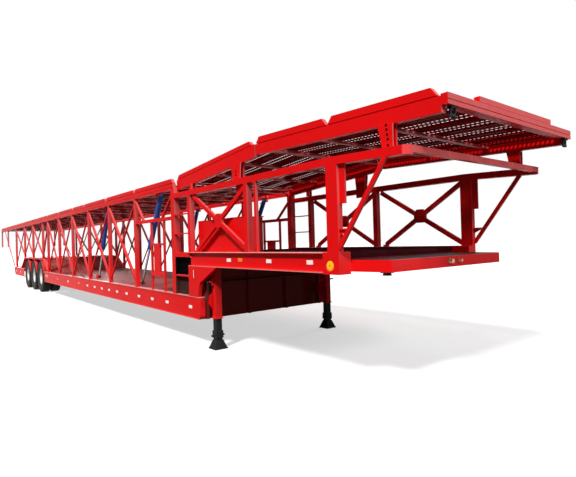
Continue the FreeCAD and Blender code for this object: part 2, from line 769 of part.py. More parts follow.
leg_shaft = rod("leg_shaft", leg_x, -s.leg_centre_y, s.leg_shaft_height, s.leg_shaft_radius,
                s.leg_centre_y * 2)
crank = rod("crank_stub", leg_x, -s.leg_centre_y - half_tube - s.cross_member_width, s.leg_shaft_height,
            s.leg_shaft_radius, s.leg_tube_size)
gear_case = block("gear_case", (leg_x - half_tube / 2, -s.leg_centre_y - half_tube - s.leg_collar_margin * 3,
                                s.leg_shaft_height - half_tube),
                  (leg_x + half_tube / 2, -s.leg_centre_y, s.leg_shaft_height + half_tube))
keep("landing_leg_tubes", joined("leg_tubes_and_shaft", [
    right_leg, other_side("left_leg_tube", right_leg), leg_shaft, crank, gear_case]))
half_foot = s.foot_size / 2
foot_plate = block("foot_plate", (leg_x - half_foot, -s.leg_centre_y - half_foot, as_size(0)),
                   (leg_x + half_foot, -s.leg_centre_y + half_foot, s.foot_plate_thickness))
ram = block("leg_ram", (leg_x - half_ram, -s.leg_centre_y - half_ram, s.foot_plate_thickness),
            (leg_x + half_ram, -s.leg_centre_y + half_ram, s.leg_tube_bottom))
foot_cone = document.addObject("Part::Wedge", "foot_cone")
for axis, low, high in (("X", -half_foot, half_foot), ("Y", as_size(0), s.foot_height - s.foot_plate_thickness),
                        ("Z", -half_foot, half_foot)):
    foot_cone.setExpression(axis + "min", low.text)
    foot_cone.setExpression(axis + "max", high.text)
foot_cone.setExpression("X2min", (-half_ram).text)
foot_cone.setExpression("X2max", half_ram.text)
foot_cone.setExpression("Z2min", (-half_ram).text)
foot_cone.setExpression("Z2max", half_ram.text)
foot_cone.setExpression("Placement", place(leg_x, -s.leg_centre_y, s.foot_plate_thickness,
                                           axis="1; 0; 0", angle="90"))
peg_radius = s.leg_shaft_radius * 0.75
peg = rod("leg_peg", leg_x, -s.leg_centre_y - half_tube, s.leg_peg_height, peg_radius, s.leg_tube_size)
half_shoe = half_ram + s.leg_collar_margin
shoe_collar = block("shoe_collar", (leg_x - half_shoe, -s.leg_centre_y - half_shoe,
                                    s.foot_height - s.leg_collar_margin * 2),
                    (leg_x + half_shoe, -s.leg_centre_y + half_shoe,
                     s.foot_height + s.leg_collar_margin * 4))
keep("landing_leg_rams", both_sides("leg_ram_pair", joined("ram_and_foot", [
    foot_plate, ram, foot_cone, peg, shoe_collar])))

# Side truss: posts, crossed braces, top chord and the raised edge over the wheels
truss_inner = -half_width + s.post_size
brace_low = -half_width + s.beam_web_thickness
brace_high = -half_width + s.post_size * 0.7
first_post_x = ladder_post_x - s.ladder_bay
post_xs = [first_post_x - s.post_bay * index for index in range(6)]
hump_middle = (hump_front + hump_rear) / 2
rear_post_x = frame_rear + s.post_size * 6
hump_post_xs = [hump_front, hump_middle, hump_rear]
half_post = s.post_size / 2


def post(name, x, bottom):
    return block(name, (x - half_post, -half_width, bottom),
                 (x + half_post, truss_inner, s.chord_bottom))


def crossed(name, x_rear, x_front, rear_bottom, front_bottom):
    """Two braces that cross a bay from corner to corner."""
    inset = s.brace_size
    high = s.chord_bottom - inset
    return [
        bar(name + "_up", (x_rear, rear_bottom + inset), (x_front, high),
            brace_low, brace_low + s.light_brace_size, s.light_brace_size),
        bar(name + "_down", (x_rear, high), (x_front, front_bottom + inset),
            brace_low, brace_high, s.brace_size)]


truss = [post(f"post_{index}", x, s.lower_beam_top) for index, x in enumerate(post_xs)]
for index, (front_x, rear_x) in enumerate(zip(post_xs, post_xs[1:])):
    truss += crossed(f"bay_{index}", rear_x, front_x, s.lower_beam_top, s.lower_beam_top)
truss += [post(f"hump_post_{index}", x, s.hump_top - s.hump_edge_depth)
          for index, x in enumerate(hump_post_xs)]
for index, (front_x, rear_x) in enumerate(zip(hump_post_xs, hump_post_xs[1:])):
    truss += crossed(f"hump_bay_{index}", rear_x, front_x, s.hump_top, s.hump_top)
truss.append(bar("front_slope_brace", (hump_front, s.hump_top), (post_xs[-1], s.chord_bottom - s.brace_size),
                 brace_low, brace_high, s.brace_size))
truss.append(post("rear_post", rear_post_x, s.lower_beam_top))
truss += crossed("rear_bay", rear_post_x, hump_rear, s.lower_beam_top, s.hump_top)
depth = s.hump_edge_depth
edge_inner = -inner_edge
truss.append(padded("hump_edge", "XZ_Plane", [
    (ramp_front, s.lower_beam_top), (hump_front, s.hump_top), (hump_rear, s.hump_top),
    (ramp_rear, s.lower_beam_top), (ramp_rear + depth * 2, s.lower_beam_top),
    (hump_rear + depth / 4, s.hump_top - depth), (hump_front - depth / 4, s.hump_top - depth),
    (ramp_front - depth * 2, s.lower_beam_top)], edge_inner, s.beam_flange_width))
truss.append(block("chord", (frame_rear, -half_width, s.chord_bottom),
                   (ladder_post_front, -half_width + s.chord_width, s.chord_top)))
step_post_rear = ladder_post_x - s.step_post_length / 2
truss.append(block("step_post", (step_post_rear, -half_width, s.lower_beam_top),
                   (ladder_post_front, -half_width + s.step_post_width, s.chord_bottom)))
bar_half = s.brace_size / 2
truss.append(block("ladder_bar", (first_post_x, brace_low, s.ladder_bar_height - bar_half),
                   (ladder_post_x, brace_high, s.ladder_bar_height + bar_half)))
truss.append(bar("ladder_brace_rear", (first_post_x, s.chord_bottom - bar_half),
                 (first_post_x + s.post_size * 6, s.ladder_bar_height),
                 brace_low, brace_high, s.ladder_tube))
truss.append(bar("ladder_brace_front", (ladder_post_x - s.post_size * 7, s.ladder_bar_height),
                 (ladder_post_x, s.chord_bottom - bar_half), brace_low, brace_high, s.ladder_tube))
ladder_front_x = ladder_post_x - s.ladder_setback
for index in range(2):
    x = ladder_front_x - s.ladder_width * index
    truss.append(block(f"ladder_side_{index}", (x - s.ladder_tube / 2, brace_low, s.lower_beam_top),
                       (x + s.ladder_tube / 2, brace_low + s.ladder_tube, s.ladder_bar_height)))
truss.append(block("control_box", (ladder_front_x - s.control_box_setback - s.control_box_length / 2,
                                   brace_low, s.lower_ladder_rung_height),
                   (ladder_front_x - s.control_box_setback + s.control_box_length / 2,
                    brace_high, s.upper_ladder_rung_height)))
for index, (height, depth) in enumerate((
        (s.lower_ladder_rung_height, s.lower_ladder_rung_size), (s.upper_ladder_rung_height, s.ladder_tube))):
    truss.append(block(f"ladder_rung_{index}",
                       (ladder_front_x - s.ladder_width, brace_low, height - depth / 2),
                       (ladder_front_x, brace_low + s.ladder_tube, height + depth / 2)))
right_truss = joined("right_truss", truss)
keep("side_truss_right", right_truss)
keep("side_truss_left", other_side("left_truss", right_truss))

# Gooseneck side frames: posts, rail, ladder rungs, strut and crossed braces
rail_top_z = s.rail_bottom + s.rail_size
rail_front_x = front_end - s.rail_front_setback
rear_post = step_x - s.rear_frame_post_setback
middle_post = step_x + s.middle_frame_post_lead
half_frame_post = s.frame_post_size / 2
front_post_rear = corner_front_x - s.front_post_length


def frame_braces(name, x_rear, x_front):
    """Two crossed braces with a plate where they meet and a foot on the beam."""
    low = -half_width + (s.frame_post_size - s.frame_brace_width) / 2
    high = low + s.frame_brace_width
    size = s.frame_brace_size
    bottom = s.gooseneck_top + size / 2
    top = s.rail_bottom - size * 0.4
    middle_x = (x_rear + x_front) / 2 + size
    middle_z = (bottom + top) / 2
    half_plate = size * 1.6
    cut = half_plate * 0.5
    return [
        bar(name + "_up", (x_rear + size * 3, bottom), (x_front - size / 2, top), low, high, size),
        bar(name + "_down", (x_rear + size * 1.8, top), (x_front - size / 2, bottom), low, high, size),
        block(name + "_foot", (x_rear + size * 2.2, low, s.gooseneck_top),
              (x_rear + size * 3.7, high, bottom)),
        padded(name + "_plate", "XZ_Plane", [
            (middle_x - half_plate, middle_z - cut), (middle_x - cut, middle_z - half_plate),
            (middle_x + cut, middle_z - half_plate), (middle_x + half_plate, middle_z - cut),
            (middle_x + half_plate, middle_z + cut), (middle_x + cut, middle_z + half_plate),
            (middle_x - cut, middle_z + half_plate), (middle_x - half_plate, middle_z + cut)],
            high, s.frame_brace_width)]


def side_frame(side, braced_front):
    """One gooseneck side frame, built on the right-hand side."""
    outer = -half_width
    rail_bend = front_post_rear + s.front_post_length / 2
    corner_x = rail_front_x - s.rail_corner
    drop = s.rail_front_drop
    low_end = s.rail_bottom - drop
    pieces = [
        block(side + "_rail", (ladder_post_front + s.seat_clearance, outer, s.rail_bottom),
              (rail_bend, outer + s.rail_size, rail_top_z)),
        padded(side + "_front_rail", "XZ_Plane", [
            (rail_bend, s.rail_bottom), (corner_x, low_end), (corner_x, low_end + s.rail_size),
            (rail_bend, rail_top_z)], outer + s.rail_size, s.rail_size),
        padded(side + "_rail_corner", "XY_Plane", [
            (corner_x, outer), (rail_front_x, outer + s.rail_corner),
            (rail_front_x, outer + s.rail_size), (corner_x, outer + s.rail_size)],
            low_end, s.rail_size),
        block(side + "_rear_post", (rear_post - half_frame_post, outer, s.gooseneck_top),
              (rear_post + half_frame_post, outer + s.frame_post_size, s.rail_bottom)),
        block(side + "_middle_post", (middle_post - half_frame_post, outer, s.gooseneck_top),
              (middle_post + half_frame_post, outer + s.frame_post_size, s.rail_bottom)),
        block(side + "_front_post", (front_post_rear, outer, s.gooseneck_top),
              (corner_front_x, outer + s.front_post_depth, s.rail_bottom)),
        bar(side + "_strut", (corner_front_x + s.seat_clearance, s.gooseneck_top + s.strut_width * 0.8),
            (rail_front_x - s.strut_top_setback, s.rail_bottom), outer, outer + s.strut_depth,
            s.strut_width)]
    tube_outer = outer + s.slide_tube_offset
    peg_outer = outer + s.post_bracket_thickness
    peg_front = corner_front_x + s.peg_length
    pieces += [
        block(side + "_slide_tube", (corner_front_x, tube_outer, s.rail_bottom - s.slide_tube_depth),
              (corner_front_x + s.slide_tube_length, tube_outer + s.slide_tube_width, s.rail_bottom)),
        block(side + "_peg", (corner_front_x, peg_outer, s.peg_height),
              (peg_front, peg_outer + s.strut_width, s.peg_height + s.rung_size)),
        padded(side + "_peg_web", "XZ_Plane", [
            (corner_front_x, s.peg_height - s.peg_length / 2), (peg_front, s.peg_height),
            (corner_front_x, s.peg_height)], peg_outer + s.strut_width / 2, s.post_bracket_thickness)]
    pieces += frame_braces(side + "_rear_cross", rear_post, middle_post)
    if braced_front:
        pieces += frame_braces(side + "_front_cross", middle_post, front_post_rear + half_frame_post)
    else:
        slim_rear = middle_post + s.frame_post_size * 2.4
        pieces.append(block(side + "_slim_post", (slim_rear, outer, s.gooseneck_top),
                            (slim_rear + half_frame_post, outer + half_frame_post, s.rail_bottom)))
    for index, height in enumerate((s.lower_rung_height, s.upper_rung_height)):
        pieces.append(block(f"{side}_rung_{index}", (ladder_post_front + s.seat_clearance, outer, height),
                            (rear_post, outer + s.rung_size * 2, height + s.rung_size)))
    return joined(side + "_frame", pieces)


keep("gooseneck_frame_right", side_frame("right", False))
keep("gooseneck_frame_left", other_side("left_frame", side_frame("left", True)))

cross_rail_y = half_width - s.rail_size
cross_rail_top = rail_top_z - s.rail_front_drop
keep("front_cross_rail", block("cross_rail", (rail_front_x - s.rail_corner, -cross_rail_y,
                                              cross_rail_top - s.cross_rail_height),
                               (rail_front_x, cross_rail_y, cross_rail_top)))


# Upper deck sections
def deck_section(name, x_rear, x_front, top_rear, top_front, side_y, curb_height, beam_height, curbs,
                 bored=None, bracket_x=None, rear_corner=None, extra=()):
    """The frame of a deck section: side beams, cross beams and the curbs."""
    run = x_front - x_rear

    def level(x):
        return top_rear + (top_front - top_rear) * ((x - x_rear) / run)

    beam_in = side_y - s.deck_beam_width
    lift = s.moving_clearance - s.seat_clearance if bored else as_size(0)
    bottom_rear = top_rear - curb_height - beam_height + lift
    bottom_front = top_front - curb_height - beam_height + lift
    corner = [(x_rear, bottom_rear)]
    if bored or rear_corner:
        cut_rise, cut_run = rear_corner or (s.deck_gap / 2, s.deck_gap * 2)
        corner = [(x_rear, bottom_rear + cut_rise), (x_rear + cut_run, bottom_rear)]
    side_beam = padded(name + "_side", "XZ_Plane", corner + [
        (x_front, bottom_front), (x_front, top_front - curb_height),
        (x_rear, top_rear - curb_height)], -beam_in, s.deck_beam_width)
    if bored:
        hole = rod(name + "_hinge_hole", bored[0], -side_y - s.deck_gap, bored[1],
                   s.hinge_pin_radius + s.running_clearance, s.deck_beam_width + s.deck_gap * 2)
        side_beam = without(name + "_bored_side", side_beam, hole)
    curb_inner = -side_y + s.curb_width + s.curb_seam
    strip = s.curb_lift + s.curb_seam
    right = [side_beam]
    for index, (start_share, end_share) in enumerate(curbs):
        a = x_rear + run * start_share
        b = x_rear + run * end_share
        foot = curb_height - s.curb_lift
        right.append(padded(f"{name}_curb_{index}", "XZ_Plane", [
            (a, level(a) - foot), (b, level(b) - foot),
            (b - s.curb_slant, level(b - s.curb_slant)), (a + s.curb_slant, level(a + s.curb_slant))],
            curb_inner, s.curb_width))
        right.append(padded(f"{name}_strip_{index}", "XZ_Plane", [
            (a, level(a) - curb_height), (b, level(b) - curb_height),
            (b, level(b) - curb_height + strip), (a, level(a) - curb_height + strip)],
            curb_inner, s.curb_width - s.curb_strip_setback))
    if bracket_x is not None:
        lug_back = -beam_in + s.deck_gap
        right += [
            block(name + "_lug_top", (bracket_x - s.cylinder_eye_radius, -beam_in,
                                      bottom_rear + s.curb_seam),
                  (bracket_x + s.cylinder_eye_radius, lug_back, top_rear - curb_height)),
            block(name + "_lug", (bracket_x - s.cylinder_eye_radius, -beam_in + s.curb_seam * 1.5,
                                  s.upper_pin_height - s.deck_gap),
                  (bracket_x + s.cylinder_eye_radius, lug_back, top_rear - curb_height)),
            rod(name + "_lug_pin", bracket_x, -beam_in + s.deck_gap / 2, s.upper_pin_height,
                s.cylinder_pin_radius, s.cylinder_eye_width + s.deck_gap * 1.5)]
    members = right + [other_side(piece.Name + "_twin", piece) for piece in right]
    inset = s.hinge_setback * 2 if bored else s.curb_seam * 3
    count = int(((run - inset * 2) / s.cross_member_pitch).number) + 1
    under = curb_height + s.plank_drop + s.plank_depth + s.seat_clearance + s.deck_cross_height / 2
    for index in range(count + 1):
        x = x_rear + inset + (run - inset * 2 - s.deck_cross_width) * (index / count)
        x_end = x + s.deck_cross_width
        members.append(bar(f"{name}_cross_{index}", (x, level(x) - under), (x_end, level(x_end) - under),
                           -beam_in - s.curb_seam, beam_in + s.curb_seam, s.deck_cross_height))
    return joined(name, members + list(extra))


def deck_planks(name, x_rear, x_front, top_rear, top_front, curb_height):
    """Six planks folded down along both edges, laid on a section's cross beams."""
    drop = curb_height + s.plank_drop
    sheet = drop + s.plank_thickness / 2
    fold = drop + s.plank_depth / 2
    planks = []
    for index in range(3):
        low = -s.plank_centre_gap / 2 - s.plank_width - s.plank_pitch * index
        high = low + s.plank_width
        edge = s.plank_thickness
        plank = joined(f"{name}_{index}", [
            bar(f"{name}_{index}_{role}", (x_rear, top_rear - down), (x_front, top_front - down),
                y_low, y_high, depth)
            for role, down, y_low, y_high, depth in (
                ("sheet", sheet, low, high, edge), ("outer_fold", fold, low, low + edge, s.plank_depth),
                ("inner_fold", fold, high - edge, high, s.plank_depth))])
        planks += [plank, other_side(plank.Name + "_twin", plank)]
    return planks


def curb_shares(count, gap_share):
    """Equal curbs with a small gap between neighbours."""
    return [((index + gap_share) / count, (index + 1 - gap_share) / count) for index in range(count)]


ramp_start_x = ladder_post_front + s.curb_seam
middle_bed_front = ramp_start_x - s.deck_gap
middle_bed_rear = middle_bed_front - s.middle_bed_length
rear_bed_front = middle_bed_rear - s.deck_gap
rear_bed_rear = rear_bed_front - s.rear_bed_length
rear_deck_front = rear_bed_rear - s.deck_gap
flat_beam_height = s.upper_deck_top - s.curb_height - s.chord_top - s.seat_clearance
hinge_z = s.chord_top + flat_beam_height / 2
beam_in = half_width - s.deck_beam_width

overhang = []
overhang_side = block("overhang_side", (rear_end, -half_width, s.chord_bottom),
                      (frame_rear - s.curb_seam, -beam_in, s.upper_deck_top - s.curb_height))
overhang.append(overhang_side)
overhang.append(other_side("overhang_side_twin", overhang_side))
top = s.upper_deck_top
keep("upper_deck_rear", deck_section(
    "rear_deck", rear_end, rear_deck_front, top, top, half_width, s.curb_height,
    flat_beam_height, curb_shares(9, 0.007), extra=overhang))
keep("tilting_bed_rear", deck_section(
    "rear_bed", rear_bed_rear, rear_bed_front, top, top, half_width, s.curb_height,
    flat_beam_height, [(0.004, 0.388), (0.396, 0.996)],
    bored=(rear_bed_rear + s.hinge_setback, hinge_z),
    bracket_x=rear_bed_front - s.rear_cylinder_pin_setback))
keep("tilting_bed_middle", deck_section(
    "middle_bed", middle_bed_rear, middle_bed_front, top, top, half_width, s.curb_height,
    flat_beam_height, curb_shares(2, 0.007),
    bored=(middle_bed_rear + s.hinge_setback, hinge_z),
    bracket_x=middle_bed_front - s.middle_cylinder_pin_setback))
ramp_end_x = ramp_start_x + s.ramp_deck_length
keep("upper_deck_ramp", deck_section(
    "ramp_deck", ramp_start_x, ramp_end_x, s.ramp_deck_rear_top, s.ramp_deck_front_top,
    s.front_deck_half_width, s.ramp_curb_height, s.ramp_beam_height, [(0.005, 0.966)]))
front_deck_rear = ramp_end_x + s.front_deck_gap
front_deck_front = front_end - s.front_beam_length
groove = s.header_groove_size
curb_half = s.header_curb_half_width
side_y = s.front_deck_half_width
header = [
    block("header_core", (front_deck_front - s.curb_seam, -side_y, s.header_bottom),
          (front_end - groove, side_y, s.header_top)),
    block("header_low_band", (front_deck_front, -side_y, s.header_bottom),
          (front_end, side_y, s.header_groove_height)),
    block("header_high_band", (front_deck_front, -side_y, s.header_groove_height + groove),
          (front_end, side_y, s.header_top)),
    block("header_curb_foot", (front_deck_front, -curb_half, s.header_top - groove),
          (front_end - groove * 2, curb_half, s.header_top + groove)),
    block("header_curb", (front_deck_front, -curb_half, s.header_top + groove),
          (front_end - groove, curb_half, s.header_top + s.header_curb_height))]
keep("upper_deck_front", deck_section(
    "front_deck", front_deck_rear, front_deck_front, s.front_deck_rear_top, s.front_deck_front_top,
    side_y, s.front_curb_height, s.front_deck_beam_height, [(0.004, 0.487), (0.496, 0.985)],
    rear_corner=(s.deck_chamfer, s.deck_chamfer), extra=header))

# Planks of the fixed upper deck and of the two beds
keep("upper_deck_planks", gathered("fixed_planks", (
    deck_planks("rear_plank", rear_end, rear_deck_front, top, top, s.curb_height)
    + deck_planks("ramp_plank", ramp_start_x, ramp_end_x, s.ramp_deck_rear_top, s.ramp_deck_front_top,
                  s.ramp_curb_height)
    + deck_planks("front_plank", front_deck_rear, front_deck_front - s.moving_clearance,
                  s.front_deck_rear_top, s.front_deck_front_top, s.front_curb_height))))
keep("rear_bed_planks", gathered("rear_bed_plank_set", deck_planks(
    "rear_bed_plank", rear_bed_rear, rear_bed_front, top, top, s.curb_height)))
keep("middle_bed_planks", gathered("middle_bed_plank_set", deck_planks(
    "middle_bed_plank", middle_bed_rear, middle_bed_front, top, top, s.curb_height)))

# Supports between the rails and the ramp and front decks
front_run = front_deck_front - front_deck_rear


def ramp_bottom(x):
    rise = s.ramp_deck_front_top - s.ramp_deck_rear_top
    level = s.ramp_deck_rear_top + rise * ((x - ramp_start_x) / s.ramp_deck_length)
    return level - s.ramp_curb_height - s.ramp_beam_height


def front_bottom(x):
    fall = (s.front_deck_rear_top - s.front_deck_front_top) * ((x - front_deck_rear) / front_run)
    return s.front_deck_rear_top - fall - s.front_curb_height - s.front_deck_beam_height


def rail_top_at(x):
    bend = front_post_rear + s.front_post_length / 2
    return rail_top_z - s.rail_front_drop * ((x - bend) / (rail_front_x - s.rail_corner - bend))


def support_pair(name, low, high, under, foot, tab_bottom=None):
    """A deck support on each side: an outer plate and a shorter inner one on a foot."""
    (low_x, high_x), (top_low, top_high) = low, high
    outline = [(low_x, foot(low_x)), (high_x, foot(high_x)), (top_high, under(top_high)),
               (top_low, under(top_low))]
    outer = -s.front_deck_half_width - s.strut_size / 4
    thick = s.support_plate_thickness
    inner = outer + s.strut_size - thick
    pieces = [padded(name + "_outer", "XZ_Plane", outline, outer + thick, thick),
              padded(name + "_inner", "XZ_Plane", outline, inner + thick, thick)]
    web_x = top_low + thick * 2
    pieces.append(padded(name + "_web", "XZ_Plane", [
        (top_low, under(top_low) - s.strut_width), (web_x, under(web_x) - s.strut_width),
        (web_x, under(web_x)), (top_low, under(top_low))], inner, inner - outer))
    if tab_bottom is not None:
        pieces.append(block(name + "_tab", (low_x, inner, tab_bottom), (high_x, inner + thick, rail_top_z)))
    support = joined(name, pieces)
    return [support, other_side(name + "_twin", support)]


def level_foot(x):
    return rail_top_z


half_support = s.frame_post_size / 2
supports = support_pair("rear_support", (rear_post - half_support, rear_post + half_support),
                        (rear_post - half_support, rear_post + half_support), ramp_bottom, level_foot)
ramp_low_x = middle_post - s.frame_post_size * 4.4
ramp_high_x = ramp_low_x + s.frame_post_size * 2.25
supports += support_pair("ramp_support", (ramp_low_x, ramp_high_x),
                         (ramp_low_x - half_support / 2, ramp_high_x + half_support / 2), ramp_bottom,
                         level_foot, s.support_tab_bottom)
front_support_x = rail_front_x - s.frame_post_size * 2.2
supports += support_pair("front_support", (front_support_x - half_support * 3, front_support_x),
                         (front_support_x - half_support * 4, front_support_x), front_bottom, rail_top_at)
keep("deck_supports", gathered("support_set", supports))

# Bed hinges on the chords: a bracket and its pin
hinges = []
for name, x in (("rear", rear_bed_rear + s.hinge_setback), ("middle", middle_bed_rear + s.hinge_setback)):
    half = s.hinge_bracket_size / 2
    bracket = block(name + "_hinge_bracket", (x - half, -beam_in, s.chord_bottom),
                    (x + half, -beam_in + s.hinge_bracket_width, hinge_z + s.deck_gap))
    pin = rod(name + "_hinge_pin", x, -half_width + s.curb_seam, hinge_z, s.hinge_pin_radius,
              s.deck_beam_width)
    hinge = joined(name + "_hinge", [bracket, pin])
    hinges += [hinge, other_side(name + "_hinge_twin", hinge)]
keep("bed_hinges", gathered("hinge_set", hinges))


# Hydraulic cylinders that raise the beds: the barrels hang from the beds, the rods point down
half_turn = 180
def cylinder_pair(name, upper_x, lean):
    """The hanging barrels, the rods and the lower brackets of one pair of cylinders."""
    lower_x = upper_x - lean
    run = lean.number
    rise = (s.upper_pin_height - s.lower_pin_height).number
    length = math.hypot(run, rise)
    angle = math.degrees(math.atan2(run, rise))
    centre = -s.cylinder_centre_y.number
    base = Vector(upper_x.number, centre, s.upper_pin_height.number)
    eye_radius = s.cylinder_eye_radius.number
    eye_width = s.cylinder_eye_width.number
    clearance = s.running_clearance.number
    end = s.barrel_end_thickness.number
    barrel_start = eye_radius * 0.8
    barrel_length = length * s.barrel_length_share.number - barrel_start
    up = Vector(0, 0, 1)
    across = Vector(0, 1, 0)

    def eye(height, bore_radius):
        start = Vector(0, -eye_width / 2, height)
        ring = Part.makeCylinder(eye_radius, eye_width, start, across)
        return ring, Part.makeCylinder(bore_radius, eye_width, start, across)

    ring, ring_bore = eye(0, s.cylinder_pin_radius.number + clearance)
    tube = Part.makeCylinder(s.barrel_radius.number, barrel_length, Vector(0, 0, barrel_start), up)
    barrel = ring.fuse(tube)
    barrel = barrel.cut(Part.makeCylinder(s.barrel_bore_radius.number, barrel_length - end * 2,
                                          Vector(0, 0, barrel_start + end), up))
    barrel = barrel.cut(Part.makeCylinder(s.rod_radius.number + clearance, end * 2,
                                          Vector(0, 0, barrel_start + barrel_length - end), up))
    barrel = barrel.cut(ring_bore)
    head = s.rod_head_length.number
    head_start = barrel_start + end * 1.5
    piston = Part.makeCylinder(s.barrel_bore_radius.number - clearance, head,
                               Vector(0, 0, head_start), up)
    shaft = Part.makeCylinder(s.rod_radius.number, length - head_start, Vector(0, 0, head_start), up)
    low_ring, low_bore = eye(length, s.rod_eye_bore_radius.number)
    rod_shape = piston.fuse(shaft).fuse(low_ring).cut(low_bore)
    for part_name, shape in (("barrel", barrel), ("rod", rod_shape)):
        piece = document.addObject("Part::Feature", f"{name}_{part_name}")
        piece.Shape = shape.removeSplitter()
        piece.Placement = FreeCAD.Placement(base, FreeCAD.Rotation(across, angle + half_turn))
        keep(f"cylinder_{part_name}_{name}_right", piece)
        keep(f"cylinder_{part_name}_{name}_left", other_side(f"{name}_{part_name}_twin", piece))
    bracket = block(name + "_lower_bracket",
                    (lower_x - s.cylinder_eye_radius, truss_inner + s.moving_clearance, s.lower_beam_top),
                    (lower_x + s.cylinder_eye_radius, -inner_edge,
                     s.lower_pin_height + s.cylinder_eye_radius))
    pin = rod(name + "_lower_pin", lower_x, -inner_edge - s.curb_seam, s.lower_pin_height,
              s.cylinder_pin_radius, s.cylinder_eye_width + s.deck_gap)
    lower = joined(name + "_lower_mount", [bracket, pin])
    return [lower, other_side(name + "_lower_mount_twin", lower)]


mounts = cylinder_pair("middle", middle_bed_front - s.middle_cylinder_pin_setback, s.middle_cylinder_lean)
mounts += cylinder_pair("rear", rear_bed_front - s.rear_cylinder_pin_setback, s.rear_cylinder_lean)
keep("cylinder_brackets", gathered("cylinder_mounts", mounts))

# Tool cabinet on the gooseneck deck, with a lid hinged on its inner edge
cabinet_low = (step_x - s.cabinet_setback, -half_width + s.cabinet_side_gap, deck_high)
cabinet_high = (cabinet_low[0] + s.cabinet_length, cabinet_low[1] + s.cabinet_width,
                cabinet_low[2] + s.cabinet_height)
wall = s.cabinet_wall
cabinet_shell = block("cabinet_shell", cabinet_low, cabinet_high)
cabinet_hollow = block("cabinet_hollow", [value + wall for value in cabinet_low],
                       (cabinet_high[0] - wall, cabinet_high[1] - wall, cabinet_high[2] + wall))
keep("cabinet_body", without("cabinet", cabinet_shell, cabinet_hollow))
lid_low = (cabinet_low[0] - wall, cabinet_low[1] - wall, cabinet_high[2] + s.seat_clearance)
lid_high = (cabinet_high[0] + wall, cabinet_high[1] + wall, lid_low[2] + s.cabinet_lid_thickness)
knuckle_y = lid_high[1] + s.lid_knuckle_radius
knuckle = document.addObject("Part::Cylinder", "lid_knuckle")
knuckle.setExpression("Radius", s.lid_knuckle_radius.text)
knuckle.setExpression("Height", (s.cabinet_length + wall * 2).text)
knuckle.setExpression("Placement", place(lid_low[0], knuckle_y, lid_low[2] + s.lid_knuckle_radius,
                                         axis="0; 1; 0", angle="90"))
lid_plate = block("lid_plate", lid_low, (lid_high[0], knuckle_y, lid_high[2]))
keep("cabinet_lid", joined("lid", [lid_plate, knuckle]))

# Bars and stays under the rear overhang of the upper deck
rear_bars = []
bar_size = s.hanger_bar_size
for index, share in enumerate((0.0, 0.51)):
    x = rear_end + (frame_rear - rear_end) * share
    hanging = block(f"hanging_bar_{index}",
                    (x, -half_width, s.chord_bottom - s.hanger_bar_length),
                    (x + bar_size, -half_width + bar_size, s.chord_bottom))
    rear_bars += [hanging, other_side(f"hanging_bar_{index}_twin", hanging)]
stay = bar("rear_stay", (rear_end + (frame_rear - rear_end) * 0.3, s.chord_bottom - s.stay_size),
           (frame_rear - s.cross_member_width, s.lower_beam_top + s.stay_size),
           -half_width, -half_width + s.stay_size, s.stay_size)
rear_bars += [stay, other_side("rear_stay_twin", stay)]
keep("rear_overhang_stays", gathered("overhang_stays", rear_bars))

document.recompute()
for item in document.Objects:
    if "Invalid" in item.State or "Error" in item.State:
        raise RuntimeError(f"{item.Name} failed: {item.State}")
for name, source in nodes.items():
    shape = source.Shape
    if shape.isNull() or not shape.isValid():
        raise RuntimeError(f"{name} has no valid shape")
    shape.exportStep(f"parts/{name}.step")
print(len(nodes), "nodes,", sum(len(source.Shape.Solids) for source in nodes.values()), "solids")
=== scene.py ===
import json
import math

import bmesh
import bpy
from mathutils import Matrix, Vector


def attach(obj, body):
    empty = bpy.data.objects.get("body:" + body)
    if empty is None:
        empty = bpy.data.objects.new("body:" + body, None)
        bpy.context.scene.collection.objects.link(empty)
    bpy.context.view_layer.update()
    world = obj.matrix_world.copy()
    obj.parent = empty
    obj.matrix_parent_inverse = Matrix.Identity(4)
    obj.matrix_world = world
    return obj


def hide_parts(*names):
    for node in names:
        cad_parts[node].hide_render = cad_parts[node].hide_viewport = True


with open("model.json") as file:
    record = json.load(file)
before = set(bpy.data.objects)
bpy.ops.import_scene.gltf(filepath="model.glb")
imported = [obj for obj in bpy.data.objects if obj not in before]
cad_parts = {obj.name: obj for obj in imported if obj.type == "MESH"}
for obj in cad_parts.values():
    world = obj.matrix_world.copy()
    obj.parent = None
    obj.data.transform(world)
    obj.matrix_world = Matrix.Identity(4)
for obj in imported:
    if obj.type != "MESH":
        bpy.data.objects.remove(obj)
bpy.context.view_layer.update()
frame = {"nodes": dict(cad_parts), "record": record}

scene = bpy.context.scene

# Camera: at eye height off the trailer's front right corner, looking back along
# its right side, with the lens and the slight roll of the photograph.
eye = Vector((14.767, -4.368, 1.508))
yaw = math.radians(51.50)
pitch = math.radians(0.38)
roll = math.radians(-1.62)
ahead = Vector((-math.sin(yaw) * math.cos(pitch), math.cos(yaw) * math.cos(pitch),
                math.sin(pitch)))
level = Vector((math.cos(yaw), math.sin(yaw), 0))
upright = level.cross(ahead)
right = level * math.cos(roll) + upright * math.sin(roll)
up = upright * math.cos(roll) - level * math.sin(roll)
lens = bpy.data.cameras.new("photo_camera")
lens.sensor_fit = "HORIZONTAL"
lens.sensor_width = 36
lens.lens = 28.575
lens.clip_end = 600
camera = bpy.data.objects.new("photo_camera", lens)
bpy.context.collection.objects.link(camera)
camera.matrix_world = Matrix((
    (right.x, up.x, -ahead.x, eye.x),
    (right.y, up.y, -ahead.y, eye.y),
    (right.z, up.z, -ahead.z, eye.z),
    (0, 0, 0, 1)))
scene.camera = camera
scene.view_settings.view_transform = "Standard"


